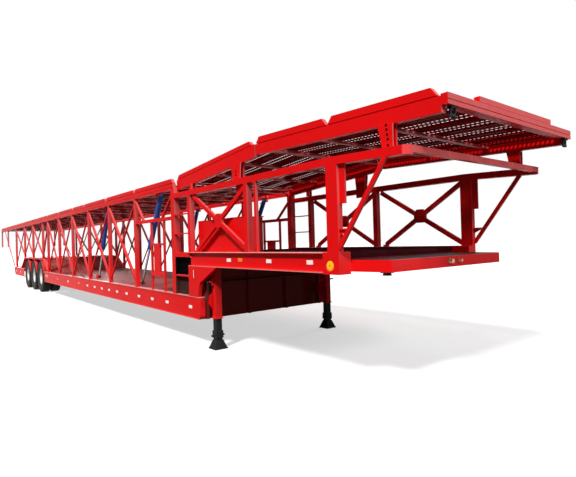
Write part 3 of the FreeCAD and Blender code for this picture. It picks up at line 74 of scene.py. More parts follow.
# Stage: a plain pale floor under a white sky. The camera and mirrors see both as
# white, and what they throw back on the trailer is dimmer, as on a shaded yard.
class Channel:
    """One output in a node tree. Arithmetic on it adds Math nodes; node() adds any other."""

    def __init__(self, tree, socket=None):
        self.tree = tree
        self.socket = socket

    def node(self, kind, settings=None, inputs=None, output=0):
        made = self.tree.nodes.new("ShaderNode" + kind)
        for name, value in (settings or {}).items():
            setattr(made, name, value)
        for name, value in (inputs or {}).items():
            if isinstance(value, Channel):
                self.tree.links.new(value.socket, made.inputs[name])
            else:
                made.inputs[name].default_value = value
        return Channel(self.tree, made.outputs[output] if len(made.outputs) else None)

    def math(self, operation, first, second, clamp=False):
        return self.node("Math", {"operation": operation, "use_clamp": clamp},
                         {0: first, 1: second})

    def __add__(self, other):
        return self.math("ADD", self, other)

    def __sub__(self, other):
        return self.math("SUBTRACT", self, other)

    def __rsub__(self, other):
        return self.math("SUBTRACT", other, self)

    def __mul__(self, other):
        return self.math("MULTIPLY", self, other)

    __radd__ = __add__
    __rmul__ = __mul__

    def limited(self):
        return self.math("ADD", self, 0.0, clamp=True)


def blank_material(name):
    """A material with only its output, and the channel that its nodes start from."""
    material = bpy.data.materials.new(name)
    material.use_nodes = True
    material.node_tree.nodes.clear()
    return material, Channel(material.node_tree)


def looked_at(start):
    """One for what the camera, a mirror or a glass sees, nought for the light it throws."""
    seen = start.node("LightPath", output="Is Camera Ray")
    glossy = start.node("LightPath", output="Is Glossy Ray")
    through = start.node("LightPath", output="Is Transmission Ray")
    return (seen + glossy + through).limited()


floor_drop = 0.002
floor_size = 400
bpy.ops.mesh.primitive_plane_add(size=floor_size, location=(0, 0, -floor_drop))
floor = bpy.context.object
floor.name = "studio_floor"
floor_look, start = blank_material("studio_floor")
matt = start.node("BsdfDiffuse", None, {"Color": (0.50, 0.50, 0.50, 1)})
glow = start.node("Emission", None, {"Color": (1, 1, 1, 1), "Strength": 0.56})
pale = start.node("AddShader", None, {0: matt, 1: glow})
dim = start.node("BsdfDiffuse", None, {"Color": (0.09, 0.088, 0.085, 1)})
look = start.node("MixShader", None, {0: looked_at(start), 1: dim, 2: pale})
start.node("OutputMaterial", None, {"Surface": look})
floor.data.materials.append(floor_look)

world = bpy.data.worlds.new("white_sky")
world.use_nodes = True
world.node_tree.nodes.clear()
sky = Channel(world.node_tree)
lighting = sky.node("Background", None, {"Color": (1, 0.99, 0.98, 1), "Strength": 0.19})
backdrop = sky.node("Background", None, {"Color": (1, 1, 1, 1), "Strength": 1.0})
sky_look = sky.node("MixShader", None, {0: looked_at(sky), 1: lighting, 2: backdrop})
sky.node("OutputWorld", None, {"Surface": sky_look})
scene.world = world

for lamp_name, toward, strength, spread in (
        ("right_light", (-0.28, 0.56, -0.72), 4.3, 9),
        ("front_light", (-0.84, 0.12, -0.52), 1.5, 14),
        ("left_light", (0.15, -0.95, -0.14), 1.7, 14),
        ("rear_light", (1.0, -0.20, -0.14), 1.4, 14)):
    light = bpy.data.lights.new(lamp_name, "SUN")
    light.energy = strength
    light.angle = math.radians(spread)
    lamp = bpy.data.objects.new(lamp_name, light)
    bpy.context.collection.objects.link(lamp)
    lamp.rotation_euler = Vector(toward).to_track_quat("-Z", "Y").to_euler()


# Welded steel frame: box tubes, folded beams and plates, sprayed with glossy red
# enamel. Dust lies on what faces up; forward faces get a painted pale sheen, and a painted
# pale haze thickens towards the wheels, both stronger higher up.
def axis(start, vector, letter):
    """One axis of a place or of a direction."""
    return start.node("SeparateXYZ", None, {"Vector": vector}, output=letter)


def clouds(start, place, scale, detail, roughness=0.5):
    """Soft noise, for dirt and wear."""
    return start.node("TexNoise", None, {
        "Vector": place, "Scale": scale, "Detail": detail, "Roughness": roughness})


def eased(start, value, low, high, at_low=0.0, at_high=1.0):
    """A share that follows a value from one limit to the other."""
    return start.node("MapRange", None, {
        "Value": value, "From Min": low, "From Max": high, "To Min": at_low, "To Max": at_high})


def within(start, value, middle, reach):
    """One where a value lies within a reach of its middle, nought beyond."""
    return start.node("Math", {"operation": "COMPARE"}, {0: value, 1: middle, 2: reach})


def mixed(start, share, under, over):
    """One colour laid over another by a share."""
    under, over = [look if isinstance(look, Channel) else (*look, 1) for look in (under, over)]
    return start.node("Mix", {"data_type": "RGBA"}, {0: share, 6: under, 7: over}, output=2)


def toned(colour, share, lift=0.0):
    """A darker or lighter tone of a colour."""
    return [part * share + lift for part in colour]


def grained(start, strength, depth, height):
    """The fine relief of a surface."""
    return start.node("Bump", None, {
        "Strength": strength, "Distance": depth, "Height": height}, output="Normal")


def coated(material, start, sockets):
    """Closes a material with its one shader."""
    start.node("OutputMaterial", None, {"Surface": start.node("BsdfPrincipled", None, sockets)})
    return material


def enamel(name, colour, dust_and_sheen_colour, dust_and_sheen_share, gloss, shine=1.07, strips=(), ledge=None):
    """Sprayed paint: dust on upward faces, a painted pale sheen on forward faces and a painted pale
    haze towards the rear. Strips are lines of another colour at an X and a height; a ledge is a
    piece given painted shade below the deck above it, with a painted highlight on the top faces
    ahead of it."""
    material, start = blank_material(name)
    place = start.node("TexCoord", output="Object")
    normal = start.node("NewGeometry", output="Normal")
    along, across, height = [axis(start, place, letter) for letter in "XYZ"]
    broad = clouds(start, place, 0.7, 4.0)
    fine = clouds(start, place, 9.0, 5.0, 0.65)
    peel = clouds(start, place, 75.0, 2.0)
    chips = clouds(start, place, 31.0, 6.0, 0.7)
    # Painted light: forward faces take a painted pale sheen and the rear a painted pale haze, both
    # stronger higher up; upward faces take real dust.
    higher_up = eased(start, height, 1.2, 2.4, 0.06, 0.62)
    rear_haze = eased(start, along, 4.0, -12.0)
    rising = eased(start, axis(start, normal, "Z"), 0.3, 1.0)
    front_sheen = eased(start, axis(start, normal, "X"), 0.4, 1.0)
    film = (rear_haze * 0.85 + front_sheen) * higher_up + rising * 0.35
    paleness = (film * dust_and_sheen_share * (fine * 0.8 + 0.6)).limited()
    shade = mixed(start, (broad * 1.6 - 0.3).limited(), toned(colour, 0.86), colour)
    dusted_and_sheened = mixed(start, paleness, shade, dust_and_sheen_colour)
    chipped = eased(start, chips, 0.70, 0.74, 0.0, 0.45)
    finish = mixed(start, chipped, dusted_and_sheened, toned(colour, 0.55, 0.01))
    for strip_x, half_length, strip_z, half_height, strip_colour in strips:
        in_length = within(start, along, strip_x, half_length)
        in_height = within(start, height, strip_z, half_height)
        strip = in_length * in_height * (broad * 1.2 + 0.3).limited()
        finish = mixed(start, strip, finish, strip_colour)
    # Painted shade on the ledge below the deck, and a painted highlight on its top faces ahead of
    # rim_x.
    if ledge:
        half_width, ledge_height, rim_x = ledge
        above = start.math("GREATER_THAN", height, ledge_height)
        rim = start.math("GREATER_THAN", along, rim_x)
        shaded = within(start, across, 0.0, half_width) * (rising + above).limited()
        finish = mixed(start, shaded, finish, (0.040, 0.003, 0.005))
        edge_highlight = rim * rising * (fine * 1.2 - 0.1).limited()
        finish = mixed(start, edge_highlight, finish, (0.62, 0.42, 0.38))
    return coated(material, start, {
        "Base Color": finish, "Roughness": (fine * 0.22 + paleness * 0.5 + gloss).limited(),
        "IOR": shine, "Coat Weight": 0.03, "Coat Roughness": 0.10,
        "Normal": grained(start, 0.05, 0.002, peel * 0.5 + chips * 0.5)})


def frame_enamel(name, **marks):
    """The red of the whole frame, with the marks of one group of its pieces."""
    return enamel(name, (0.74, 0.005, 0.006), (0.55, 0.22, 0.22), 0.8, 0.24, **marks)


def wear(material, *nodes):
    """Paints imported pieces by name."""
    for node in nodes:
        for place in frame["nodes"][node].material_slots:
            place.material = material


def paint(material, slot):
    """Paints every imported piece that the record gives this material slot."""
    wear(material, *[part["node"] for part in frame["record"]["subparts"]
                     if part["material_slot"] == slot])


paint(frame_enamel("red_enamel"), "red_paint")
# The front bulkhead takes a dark brown-red, far darker than the frame: painted shade under the
# gooseneck.
wear(enamel("bulkhead_enamel", (0.20, 0.017, 0.012), (0.14, 0.07, 0.06), 0.3, 0.40),
     "front_bulkhead")
white_line = (8.570, 0.008, 1.067, 0.058, (0.85, 0.83, 0.80))
wear(frame_enamel("step_enamel", strips=[white_line]), "step_side_plates")
# Painted highlights: pale lines along the top and bottom flange edges of the lower side beams.
beam_edge_highlights = [(0.0, 9.0, 0.7260, 0.0060, (0.62, 0.25, 0.24)),
              (0.0, 9.0, 0.4060, 0.0070, (0.72, 0.16, 0.15))]
wear(frame_enamel("beam_enamel", strips=beam_edge_highlights), "lower_side_beams")
# Painted highlights: pale lines along the top and bottom flange edges of the gooseneck's side
# beams.
gooseneck_edge_highlights = [(9.9, 2.0, 1.3865, 0.0040, (0.75, 0.38, 0.36)),
                   (9.9, 2.0, 1.1850, 0.0050, (0.78, 0.20, 0.18))]
wear(frame_enamel("gooseneck_enamel", strips=gooseneck_edge_highlights), "gooseneck_side_beams")
# The nose and its cross members inside the corner blocks take painted shade on top and above 1.311
# m; a pale patchy strip on the top faces at the nose's front edge is a painted highlight.
wear(frame_enamel("nose_enamel", ledge=(1.084, 1.311, 12.035)),
     "gooseneck_nose", "gooseneck_cross_members")
# The inner half of the landing leg tubes, with their cross shaft, is near black: painted shade.
wear(frame_enamel("leg_enamel", ledge=(1.0, 0.0, 99.0)), "landing_leg_tubes")
black = enamel("black_enamel", (0.018, 0.018, 0.020), (0.10, 0.095, 0.09), 0.35, 0.34)
paint(black, "black_paint")


# Hydraulic cylinders and kingpin: barrels sprayed blue, rods ground and hard-chromed
# under a thin film of oil with fine rings left by the wipers, and a pin of bare steel.
def bright_steel(name, colour, roughness, ring_scale):
    material, start = blank_material(name)
    place = start.node("TexCoord", output="Object")
    smear = clouds(start, place, 14.0, 5.0, 0.7)
    rings = clouds(start, place, ring_scale, 2.0)
    return coated(material, start, {
        "Base Color": mixed(start, (smear * 1.4 - 0.5).limited(), colour, toned(colour, 0.55)),
        "Metallic": 1.0, "Roughness": (smear * 0.25 + roughness).limited(),
        "Normal": grained(start, 0.08, 0.0005, rings)})


paint(enamel("blue_enamel", (0.025, 0.105, 0.42), (0.20, 0.26, 0.42), 0.35, 0.24), "blue_paint")
paint(bright_steel("rod_chrome", (0.30, 0.31, 0.33), 0.06, 320.0), "rod_chrome")
pin_steel = bright_steel("pin_steel", (0.42, 0.41, 0.40), 0.24, 140.0)
paint(pin_steel, "pin_steel")


# Deck sheets: steel plate with raised lozenges, painted dark red, scuffed by the
# wheels of the cars and dusty in two lanes.
def deck_plate(name, paint_colour, worn_colour, shine):
    material, start = blank_material(name)
    place = start.node("TexCoord", output="Object")
    turned = start.node("Mapping", None, {
        "Vector": place, "Rotation": (0, 0, math.radians(45)), "Scale": (22.0, 22.0, 22.0)})
    cells = start.node("TexVoronoi", {"feature": "F1", "distance": "CHEBYCHEV"},
                       {"Vector": turned, "Scale": 1.0, "Randomness": 0.0})
    stud = eased(start, cells, 0.16, 0.28, 1.0, 0.0)
    scuffs = clouds(start, place, 3.0, 7.0, 0.7)
    streaks = start.node("Mapping", None, {"Vector": place, "Scale": (0.5, 8.0, 1.0)})
    drag = clouds(start, streaks, 2.0, 5.0)
    worn = eased(start, scuffs * 0.5 + drag * 0.5, 0.42, 0.66, 0.0, 0.85)
    painted = mixed(start, worn, paint_colour, worn_colour)
    return coated(material, start, {
        "Base Color": mixed(start, stud * worn * 0.6, painted, toned(worn_colour, 1.5)),
        "Roughness": (scuffs * 0.3 + 0.38).limited(), "IOR": shine,
        "Normal": grained(start, 0.5, 0.003, stud)})


wear(deck_plate("lozenge_plate", (0.26, 0.020, 0.020), (0.24, 0.12, 0.11), 1.06),
     "lower_deck_floor", "wheel_hump_floor")
# The gooseneck's deck is near black-red, far darker than the lower deck: painted shade under the
# front deck.
wear(deck_plate("gooseneck_plate", (0.045, 0.003, 0.006), (0.055, 0.012, 0.014), 1.0),
     "gooseneck_deck")


# Step boxes: lockers folded from sheet metal behind the side windows, welded to the lower
# frame. Above the window's bar they are near-black, painted shade for the dark seen through
# the windows; their lower half, below the bar, is brown with road dirt.
def muddy_shade_black():
    window_bar_low, window_bar_high = 1.01, 1.03
    material, start = blank_material("muddy_shade_black")
    place = start.node("TexCoord", output="Object")
    low = eased(start, axis(start, place, "Z"), window_bar_low, window_bar_high, 1.0, 0.0)
    mud = clouds(start, place, 11.0, 6.0, 0.7)
    muddied = (low * (mud * 0.6 + 0.55)).limited()
    return coated(material, start, {
        # Near-black above the window's bar is painted shade; the brown below is road dirt.
        "Base Color": mixed(start, muddied, (0.002, 0.002, 0.002), (0.055, 0.025, 0.020)),
        "Roughness": (mud * 0.2 + 0.6).limited(), "IOR": 1.04,
        "Normal": grained(start, 0.2, 0.002, mud)})


shade_black = muddy_shade_black()
wear(shade_black, "step_boxes")


# Anti-slip planks: the upper deck's running boards, six across, each a steel sheet folded
# down along both edges, with two rows of square holes and two rows of pressed studs.
def in_place(name, shape, looks, body, slot, *replaced):
    """Turns a finished bmesh into a piece that rides on its body."""
    mesh = bpy.data.meshes.new(name)
    shape.to_mesh(mesh)
    shape.free()
    piece = bpy.data.objects.new(name, mesh)
    bpy.context.collection.objects.link(piece)
    for look in looks if isinstance(looks, list) else [looks]:
        mesh.materials.append(look)
    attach(piece, body)
    if replaced:
        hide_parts(*replaced)


hole_pitch = 0.050
row_pitch = 0.0475
row_count = 7
stud_rows = (-3, -1)
hole_rows = (1, 3)
fold_depth = 0.0175
sheet_gauge = 0.003
plank_half = 0.183
plank_pitch = 0.374
centre_gap = 0.004
plank_ys = [side * (centre_gap + plank_half + plank_pitch * index)
            for side in (-1, 1) for index in range(3)]
# The planks take a darker red than the frame: dirtier paint, and painted shade for their
# undersides.
plank_red = enamel("plank_enamel", (0.30, 0.007, 0.009), (0.17, 0.07, 0.065), 0.30, 0.36, shine=1.0)
paint(plank_red, "plank_red")


def punched_planks(name, x_rear, x_front, z_rear, z_front, body, replaced):
    sheet = bmesh.new()
    length = x_front - x_rear
    field_half = row_pitch * row_count / 2
    for y in plank_ys:
        made = bmesh.ops.create_grid(
            sheet, x_segments=round(length / hole_pitch), y_segments=row_count, size=0.5,
            matrix=Matrix.Translation(((x_rear + x_front) / 2, y, 0))
            @ Matrix.Diagonal((length, field_half * 2, 1, 1)))["verts"]
        corners = set(made)
        rows = {}
        for face in dict.fromkeys(face for corner in made for face in corner.link_faces):
            row = round((face.calc_center_median().y - y) / row_pitch)
            rows.setdefault(row, []).append(face)
        for side in (-1, 1):
            rim = y + side * field_half
            edges = [edge for edge in sheet.edges if edge.is_boundary and edge.verts[0] in corners
                     and all(abs(corner.co.y - rim) < 0.001 for corner in edge.verts)]
            for shift in ((0, side * (plank_half - field_half), 0), (0, 0, -fold_depth)):
                grown = bmesh.ops.extrude_edge_only(sheet, edges=edges)["geom"]
                edges = [item for item in grown if isinstance(item, bmesh.types.BMEdge)]
                moved = [item for item in grown if isinstance(item, bmesh.types.BMVert)]
                bmesh.ops.translate(sheet, verts=moved, vec=shift)
        studs = [face for row in stud_rows for face in rows[row]]
        holes = [face for row in hole_rows for face in rows[row]]
        bmesh.ops.inset_individual(sheet, faces=studs, thickness=0.010, depth=0.005)
        bmesh.ops.inset_individual(sheet, faces=holes, thickness=0.0130)
        bmesh.ops.delete(sheet, geom=holes, context="FACES")
    bmesh.ops.solidify(sheet, geom=list(sheet.faces), thickness=sheet_gauge)
    slope = (z_front - z_rear) / length
    for corner in sheet.verts:
        corner.co.z += z_rear + slope * (corner.co.x - x_rear)
    in_place(name, sheet, plank_red, body, "plank_red", replaced)


flat_top = 2.480
for name, x_rear, x_front, z_rear, z_front, body, replaced in (
        ("rear_planks_1", -12.800, -5.600, flat_top, flat_top, "trailer", "upper_deck_planks"),
        ("rear_planks_2", -5.600, 1.574, flat_top, flat_top, "trailer", "upper_deck_planks"),
        ("bed_planks_rear", 1.604, 4.446, flat_top, flat_top, "rear_bed", "rear_bed_planks"),
        ("bed_planks_middle", 4.476, 7.924, flat_top, flat_top, "middle_bed", "middle_bed_planks"),
        ("ramp_planks", 7.954, 10.165, 2.525, 2.699, "trailer", "upper_deck_planks"),
        ("front_planks", 10.180, 12.735, 2.693, 2.605, "trailer", "upper_deck_planks")):
    punched_planks(name, x_rear, x_front, z_rear, z_front, body, replaced)


# Tyres: black rubber, two to a wheel, moulded with a wide flat tread of four ribs,
# three grooves between them and notched shoulders.
def rubber():
    material, start = blank_material("tyre_rubber")
    place = start.node("TexCoord", output="Object")
    fine = clouds(start, place, 45.0, 5.0, 0.7)
    film = clouds(start, place, 3.5, 5.0)
    splash = eased(start, axis(start, place, "Z"), 0.5, 0.0, 0.0, 0.35)
    paleness = ((splash + 0.08) * film).limited()
    return coated(material, start, {
        "Base Color": mixed(start, paleness, (0.008, 0.008, 0.009), (0.11, 0.095, 0.085)),
        "Roughness": (fine * 0.2 + 0.66).limited(), "IOR": 1.3,
        "Normal": grained(start, 0.25, 0.002, fine)})


def spun(outline, steps):
    """A ring turned about the Y axis from (y, radius) points, closed on itself."""
    shape = bmesh.new()
    corners = [shape.verts.new((0, y, radius)) for y, radius in outline]
    edges = [shape.edges.new((corners[i - 1], corners[i])) for i in range(len(corners))]
    bmesh.ops.spin(shape, geom=corners + edges, axis=(0, 1, 0), cent=(0, 0, 0),
                   angle=math.tau, steps=steps, use_merge=True)
    bmesh.ops.remove_doubles(shape, verts=shape.verts, dist=0.00001)
    bmesh.ops.recalc_face_normals(shape, faces=shape.faces)
    return shape


tyre_rubber = rubber()
both_sides = (("left", 1), ("right", -1))
axle_xs = (-3.05, -4.30, -5.55)
axle_height = 0.535
twin_centre = 0.955
tyre_offset = 0.155
tread_steps = 84
notch_every = 3
shoulder_ys = (0.106, 0.121)
shoulder_radius = 0.5
tread_radius = 0.5345
groove_radius = tread_radius - 0.013
tyre_side = [(0.094, 0.2866), (0.110, 0.292), (0.122, 0.330), (0.1345, 0.400), (0.1325, 0.460),
             (0.124, 0.500), (0.116, 0.524), (0.108, tread_radius - 0.0015)]
ribs = [(0.066, tread_radius), (0.064, groove_radius), (0.053, groove_radius),
        (0.051, tread_radius), (0.007, tread_radius), (0.005, groove_radius)]
bead = [(-0.085, 0.2866), (0.085, 0.2866)]


def tyre_shape():
    outer = tyre_side + ribs
    shape = spun(outer + [(-y, radius) for y, radius in reversed(outer)] + bead, tread_steps)
    notches = []
    for face in shape.faces:
        middle = face.calc_center_median()
        turn = math.atan2(middle.z, middle.x) / math.tau * tread_steps
        on_shoulder = (shoulder_ys[0] < abs(middle.y) < shoulder_ys[1]
                       and middle.xz.length > shoulder_radius)
        if on_shoulder and round(turn - 0.5) % notch_every == 0:
            notches.append(face)
    bmesh.ops.inset_individual(shape, faces=notches, thickness=0.0015, depth=-0.009)
    return shape


for side_name, side in both_sides:
    for index, axle_x in enumerate(axle_xs, start=1):
        pair = bmesh.new()
        for offset in (-tyre_offset, tyre_offset):
            ring = tyre_shape()
            bmesh.ops.rotate(ring, verts=ring.verts,
                             matrix=Matrix.Rotation(0.3 * index + offset, 3, "Y"))
            bmesh.ops.translate(ring, verts=ring.verts,
                                vec=(axle_x, side * twin_centre + offset, axle_height))
            loose = bpy.data.meshes.new("ring")
            ring.to_mesh(loose)
            ring.free()
            pair.from_mesh(loose)
            bpy.data.meshes.remove(loose)
        in_place(f"tread_tyres_{side_name}_{index}", pair, tyre_rubber,
                 f"wheel_{side_name}_{index}", "tyre_rubber", f"tyres_{side_name}_{index}")


# Rims: two steel wheels bolted back to back on a hub. The outer one shows a deep white dish
# with ten hand holes, ten nuts and the hub's cap; lips and all inboard of the outer wheel are dark
# brown.
def wheel_enamel(name, clean, dark_tone):
    material, start = blank_material(name)
    place = start.node("TexCoord", output="Object")
    spots = clouds(start, place, 26.0, 5.0, 0.7)
    grime = (clouds(start, place, 5.0, 4.0) * 1.5 - 0.45).limited()
    return coated(material, start, {
        "Base Color": mixed(start, grime, clean, dark_tone), "Metallic": 0.10,
        "Roughness": (spots * 0.25 + grime * 0.3 + 0.26).limited(),
        "Normal": grained(start, 0.15, 0.001, spots)})


dish_white = wheel_enamel("rim_enamel", (0.80, 0.79, 0.78), (0.42, 0.38, 0.36))
dish_brown = wheel_enamel("rim_base", (0.065, 0.050, 0.045), (0.040, 0.030, 0.028))
outer_barrel = [
    (0.262, 0.2855), (0.250, 0.286), (0.235, 0.276), (0.205, 0.268), (0.105, 0.268),
    (0.075, 0.276), (0.060, 0.286), (0.048, 0.2855), (0.044, 0.262)]
drum_and_hub = [
    (-0.262, 0.275), (-0.250, 0.263), (-0.200, 0.256), (0.046, 0.254), (0.0480, 0.240),
    (0.0385, 0.2305), (0.0185, 0.2095), (0.0145, 0.2052), (-0.295, 0.205), (-0.300, 0.199),
    (-0.300, 0.0452), (0.120, 0.0452), (0.120, 0.003), (0.190, 0.003), (0.190, 0.046),
    (0.183, 0.060), (0.150, 0.067), (0.135, 0.0685), (0.133, 0.090), (0.124, 0.099)]
dish = [
    (0.040, 0.1085), (0.0125, 0.1095), (0.0105, 0.116), (0.0105, 0.186), (0.0250, 0.2015),
    (0.0450, 0.2225), (0.0560, 0.2340), (0.0640, 0.2470), (0.0800, 0.2535), (0.200, 0.2560),
    (0.245, 0.2620), (0.262, 0.2740)]
inner_barrel = [(-y, radius) for y, radius in reversed(outer_barrel)]
rim_outline = outer_barrel + inner_barrel + drum_and_hub + dish
slope_radii = (0.2085, 0.2215)
slope_ys = (0.022, 0.042)
lip_radius = 0.264
outer_wheel_y = 0.01
wheel_steps = 60
hole_every = 6
hole_steps = 3
nut_count = 10
nut_circle = 0.150
cap_bolt_count = 8
cap_bolt_circle = 0.080


def nuts_on(shape, count, first, circle, y, base, tip, depth):
    """Adds a ring of hexagons that face along the Y axis."""
    upright = Matrix.Rotation(-math.pi / 2, 4, "X")
    for index in range(count):
        turn = math.tau * (index + first) / count
        spot = Matrix.Translation((circle * math.cos(turn), y, circle * math.sin(turn)))
        bmesh.ops.create_cone(shape, cap_ends=True, segments=6, radius1=base, radius2=tip,
                              depth=depth, matrix=spot @ upright)


def rim_shape():
    shape = spun(rim_outline, wheel_steps)
    hand_holes = {}
    for face in shape.faces:
        middle = face.calc_center_median()
        step = math.floor((math.atan2(middle.z, middle.x) / math.tau) % 1 * wheel_steps)
        on_slope = (slope_radii[0] < middle.xz.length < slope_radii[1]
                    and slope_ys[0] < middle.y < slope_ys[1])
        if on_slope and step % hole_every < hole_steps:
            hand_holes.setdefault(step // hole_every, []).append(face)
    for faces in hand_holes.values():
        hole_rim = [edge for edge in dict.fromkeys(edge for face in faces for edge in face.edges)
                    if sum(face in faces for face in edge.link_faces) == 1]
        bmesh.ops.delete(shape, geom=faces, context="FACES")
        bmesh.ops.bridge_loops(shape, edges=hole_rim)
    nuts_on(shape, nut_count, 0.25, nut_circle, 0.0245, 0.0175, 0.0150, 0.030)
    nuts_on(shape, cap_bolt_count, 0, cap_bolt_circle, 0.136, 0.0065, 0.0060, 0.009)
    for face in shape.faces:
        middle = face.calc_center_median()
        dark_tone = middle.xz.length > lip_radius or middle.y < outer_wheel_y
        face.material_index = 1 if dark_tone else 0
    return shape


for side_name, side in both_sides:
    for index, axle_x in enumerate(axle_xs, start=1):
        rims = rim_shape()
        if side < 0:
            bmesh.ops.scale(rims, verts=rims.verts, vec=(1, -1, 1))
            bmesh.ops.reverse_faces(rims, faces=rims.faces)
        bmesh.ops.rotate(rims, verts=rims.verts,
                         matrix=Matrix.Rotation(0.37 * index + side, 3, "Y"))
        bmesh.ops.translate(rims, verts=rims.verts,
                            vec=(axle_x, side * twin_centre, axle_height))
        in_place(f"dished_rims_{side_name}_{index}", rims, [dish_white, dish_brown],
                 f"wheel_{side_name}_{index}", "rim_silver", f"rims_{side_name}_{index}")


# Reflectors: small white and amber prismatic plates of moulded plastic, riveted in a
# row along the web of the side beams. Their faint glow is painted light, as they are no lamps.
def lens_plastic(name, colour, glow):
    material, start = blank_material(name)
    place = start.node("TexCoord", output="Object")
    prism = start.node("TexVoronoi", {"feature": "F1", "distance": "MANHATTAN"},
                       {"Vector": place, "Scale": 160.0, "Randomness": 0.0})
    grime = clouds(start, place, 14.0, 4.0)
    shade = mixed(start, (grime * 0.9 - 0.25).limited(), colour, toned(colour, 0.6))
    return coated(material, start, {
        "Base Color": shade, "Roughness": (grime * 0.15 + 0.12).limited(),
        "Normal": grained(start, 0.35, 0.001, prism), "Coat Weight": 0.05, "IOR": 1.12,
        "Emission Color": shade, "Emission Strength": glow})


def plate_at(shape, centre, size, bevel):
    """Adds a small plate with softened edges to a bmesh."""
    made = bmesh.ops.create_cube(
        shape, size=1.0, matrix=Matrix.Translation(centre) @ Matrix.Diagonal((*size, 1)))
    edges = list(dict.fromkeys(edge for corner in made["verts"] for edge in corner.link_edges))
    bmesh.ops.bevel(shape, geom=edges, offset=bevel, offset_type="OFFSET", affect="EDGES",
                    segments=2, profile=0.5, material=-1)


# The reflectors' faint glow is painted light.
white_lens = lens_plastic("white_reflector", (0.80, 0.78, 0.74), 0.12)
amber_lens = lens_plastic("amber_reflector", (0.85, 0.20, 0.01), 0.12)
reflector_size = (0.10, 0.007, 0.045)
beam_face = 1.2433
gooseneck_face = 1.2085
white_places = [(x, beam_face, 0.566) for x in
                (8.43, 7.58, 6.95, 6.31, 5.64, 5.07, 4.54, 4.02, 3.46, 2.85, 0.9, -7.2, -8.3)]
white_places += [(x, gooseneck_face, 1.282) for x in (9.52, 10.42, 11.15)]
amber_places = [(x, beam_face, 0.58) for x in (2.05, -0.4, -7.9)] + [(9.80, gooseneck_face, 1.290)]
for name, places, look in (("white_reflectors", white_places, white_lens),
                           ("amber_reflectors", amber_places, amber_lens)):
    plates = bmesh.new()
    for x, y, z in places:
        for side in (-1, 1):
            plate_at(plates, (x, side * y, z), reflector_size, 0.0025)
    in_place(name, plates, look, "trailer", "red_paint")


# Side lamps: a round amber one sunk in each corner block of the nose, with a darker
# bulb behind the middle of its lens, and a long amber one ahead of the wheels.
def side_disc(shape, centre, side, segments, base, tip, depth):
    """Adds a flat disc that faces outwards from one side, and gives its outer face."""
    spot = Matrix.Translation(centre) @ Matrix.Rotation(-side * math.pi / 2, 4, "X")
    made = bmesh.ops.create_cone(shape, cap_ends=True, segments=segments, radius1=base,
                                 radius2=tip, depth=depth, matrix=spot)
    round_faces = [face for corner in made["verts"] for face in corner.link_faces
                   if len(face.verts) == segments]
    return max(round_faces, key=lambda face: abs(face.calc_center_median().y))


amber_glass = lens_plastic("amber_lamp", (1.0, 0.42, 0.015), 0.28)
bulb_glass = lens_plastic("bulb_amber", (0.62, 0.20, 0.010), 0.10)
marker_glass = lens_plastic("marker_amber", (0.80, 0.15, 0.02), 0.06)
lamps = bmesh.new()
for side in (-1, 1):
    front = side_disc(lamps, (11.493, side * 1.2435, 1.256), side, 28, 0.052, 0.047, 0.0065)
    for step_in, step_out in ((0.010, 0.0015), (0.023, 0.0008), (0.003, -0.0015)):
        bmesh.ops.inset_region(lamps, faces=[front], thickness=step_in, depth=step_out)
    front.material_index = 1
in_place("amber_side_lamps", lamps, [amber_glass, bulb_glass], "trailer", "red_paint")
marker_x, marker_height = -1.93, 0.60
marker = bmesh.new()
for side in (-1, 1):
    plate_at(marker, (marker_x, side * 1.2437, marker_height), (0.40, 0.007, 0.085), 0.003)
    plate_at(marker, (marker_x, side * 1.2445, marker_height), (0.34, 0.008, 0.030), 0.003)
in_place("amber_marker_lamps", marker, marker_glass, "trailer", "red_paint")


# Rear lamps: a black housing on each side of the bumper holding three square lenses,
# red and amber with a white reversing lamp inboard, and a rubber rim around each.
red_lens = lens_plastic("red_lamp", (0.60, 0.010, 0.008), 0.10)
rear_lamp_height = 0.62
rim_size = (0.006, 0.112, 0.088)
rear_lenses = (("white_rear_lenses", 0.64, white_lens), ("amber_rear_lenses", 0.76, amber_glass),
               ("red_rear_lenses", 0.88, red_lens))
housings = bmesh.new()
for side in (-1, 1):
    plate_at(housings, (-8.7175, side * 0.76, rear_lamp_height), (0.035, 0.38, 0.11), 0.005)
    for _, lens_y, _ in rear_lenses:
        plate_at(housings, (-8.7365, side * lens_y, rear_lamp_height), rim_size, 0.0025)
in_place("rear_lamp_housings", housings, black, "trailer", "lamp_red", "rear_lamps")
for name, lens_y, look in rear_lenses:
    lenses = bmesh.new()
    for side in (-1, 1):
        plate_at(lenses, (-8.7400, side * lens_y, rear_lamp_height), (0.009, 0.100, 0.076), 0.003)
    in_place(name, lenses, look, "trailer", "lamp_red")


# Landing legs: square rams drawn out to the ground, each with a collar, a locking peg and
# a flared foot on a flat shoe; the crank hangs folded from the right leg's gearbox.
def bar_between(shape, start, end, radius, sides=10):
    """Adds a round bar from one point to another to a bmesh."""
    start, end = Vector(start), Vector(end)
    turn = (end - start).to_track_quat("Z", "Y").to_matrix().to_4x4()
    middle = Matrix.Translation((start + end) / 2)
    bmesh.ops.create_cone(shape, cap_ends=True, segments=sides, radius1=radius, radius2=radius,
                          depth=(end - start).length, matrix=middle @ turn)


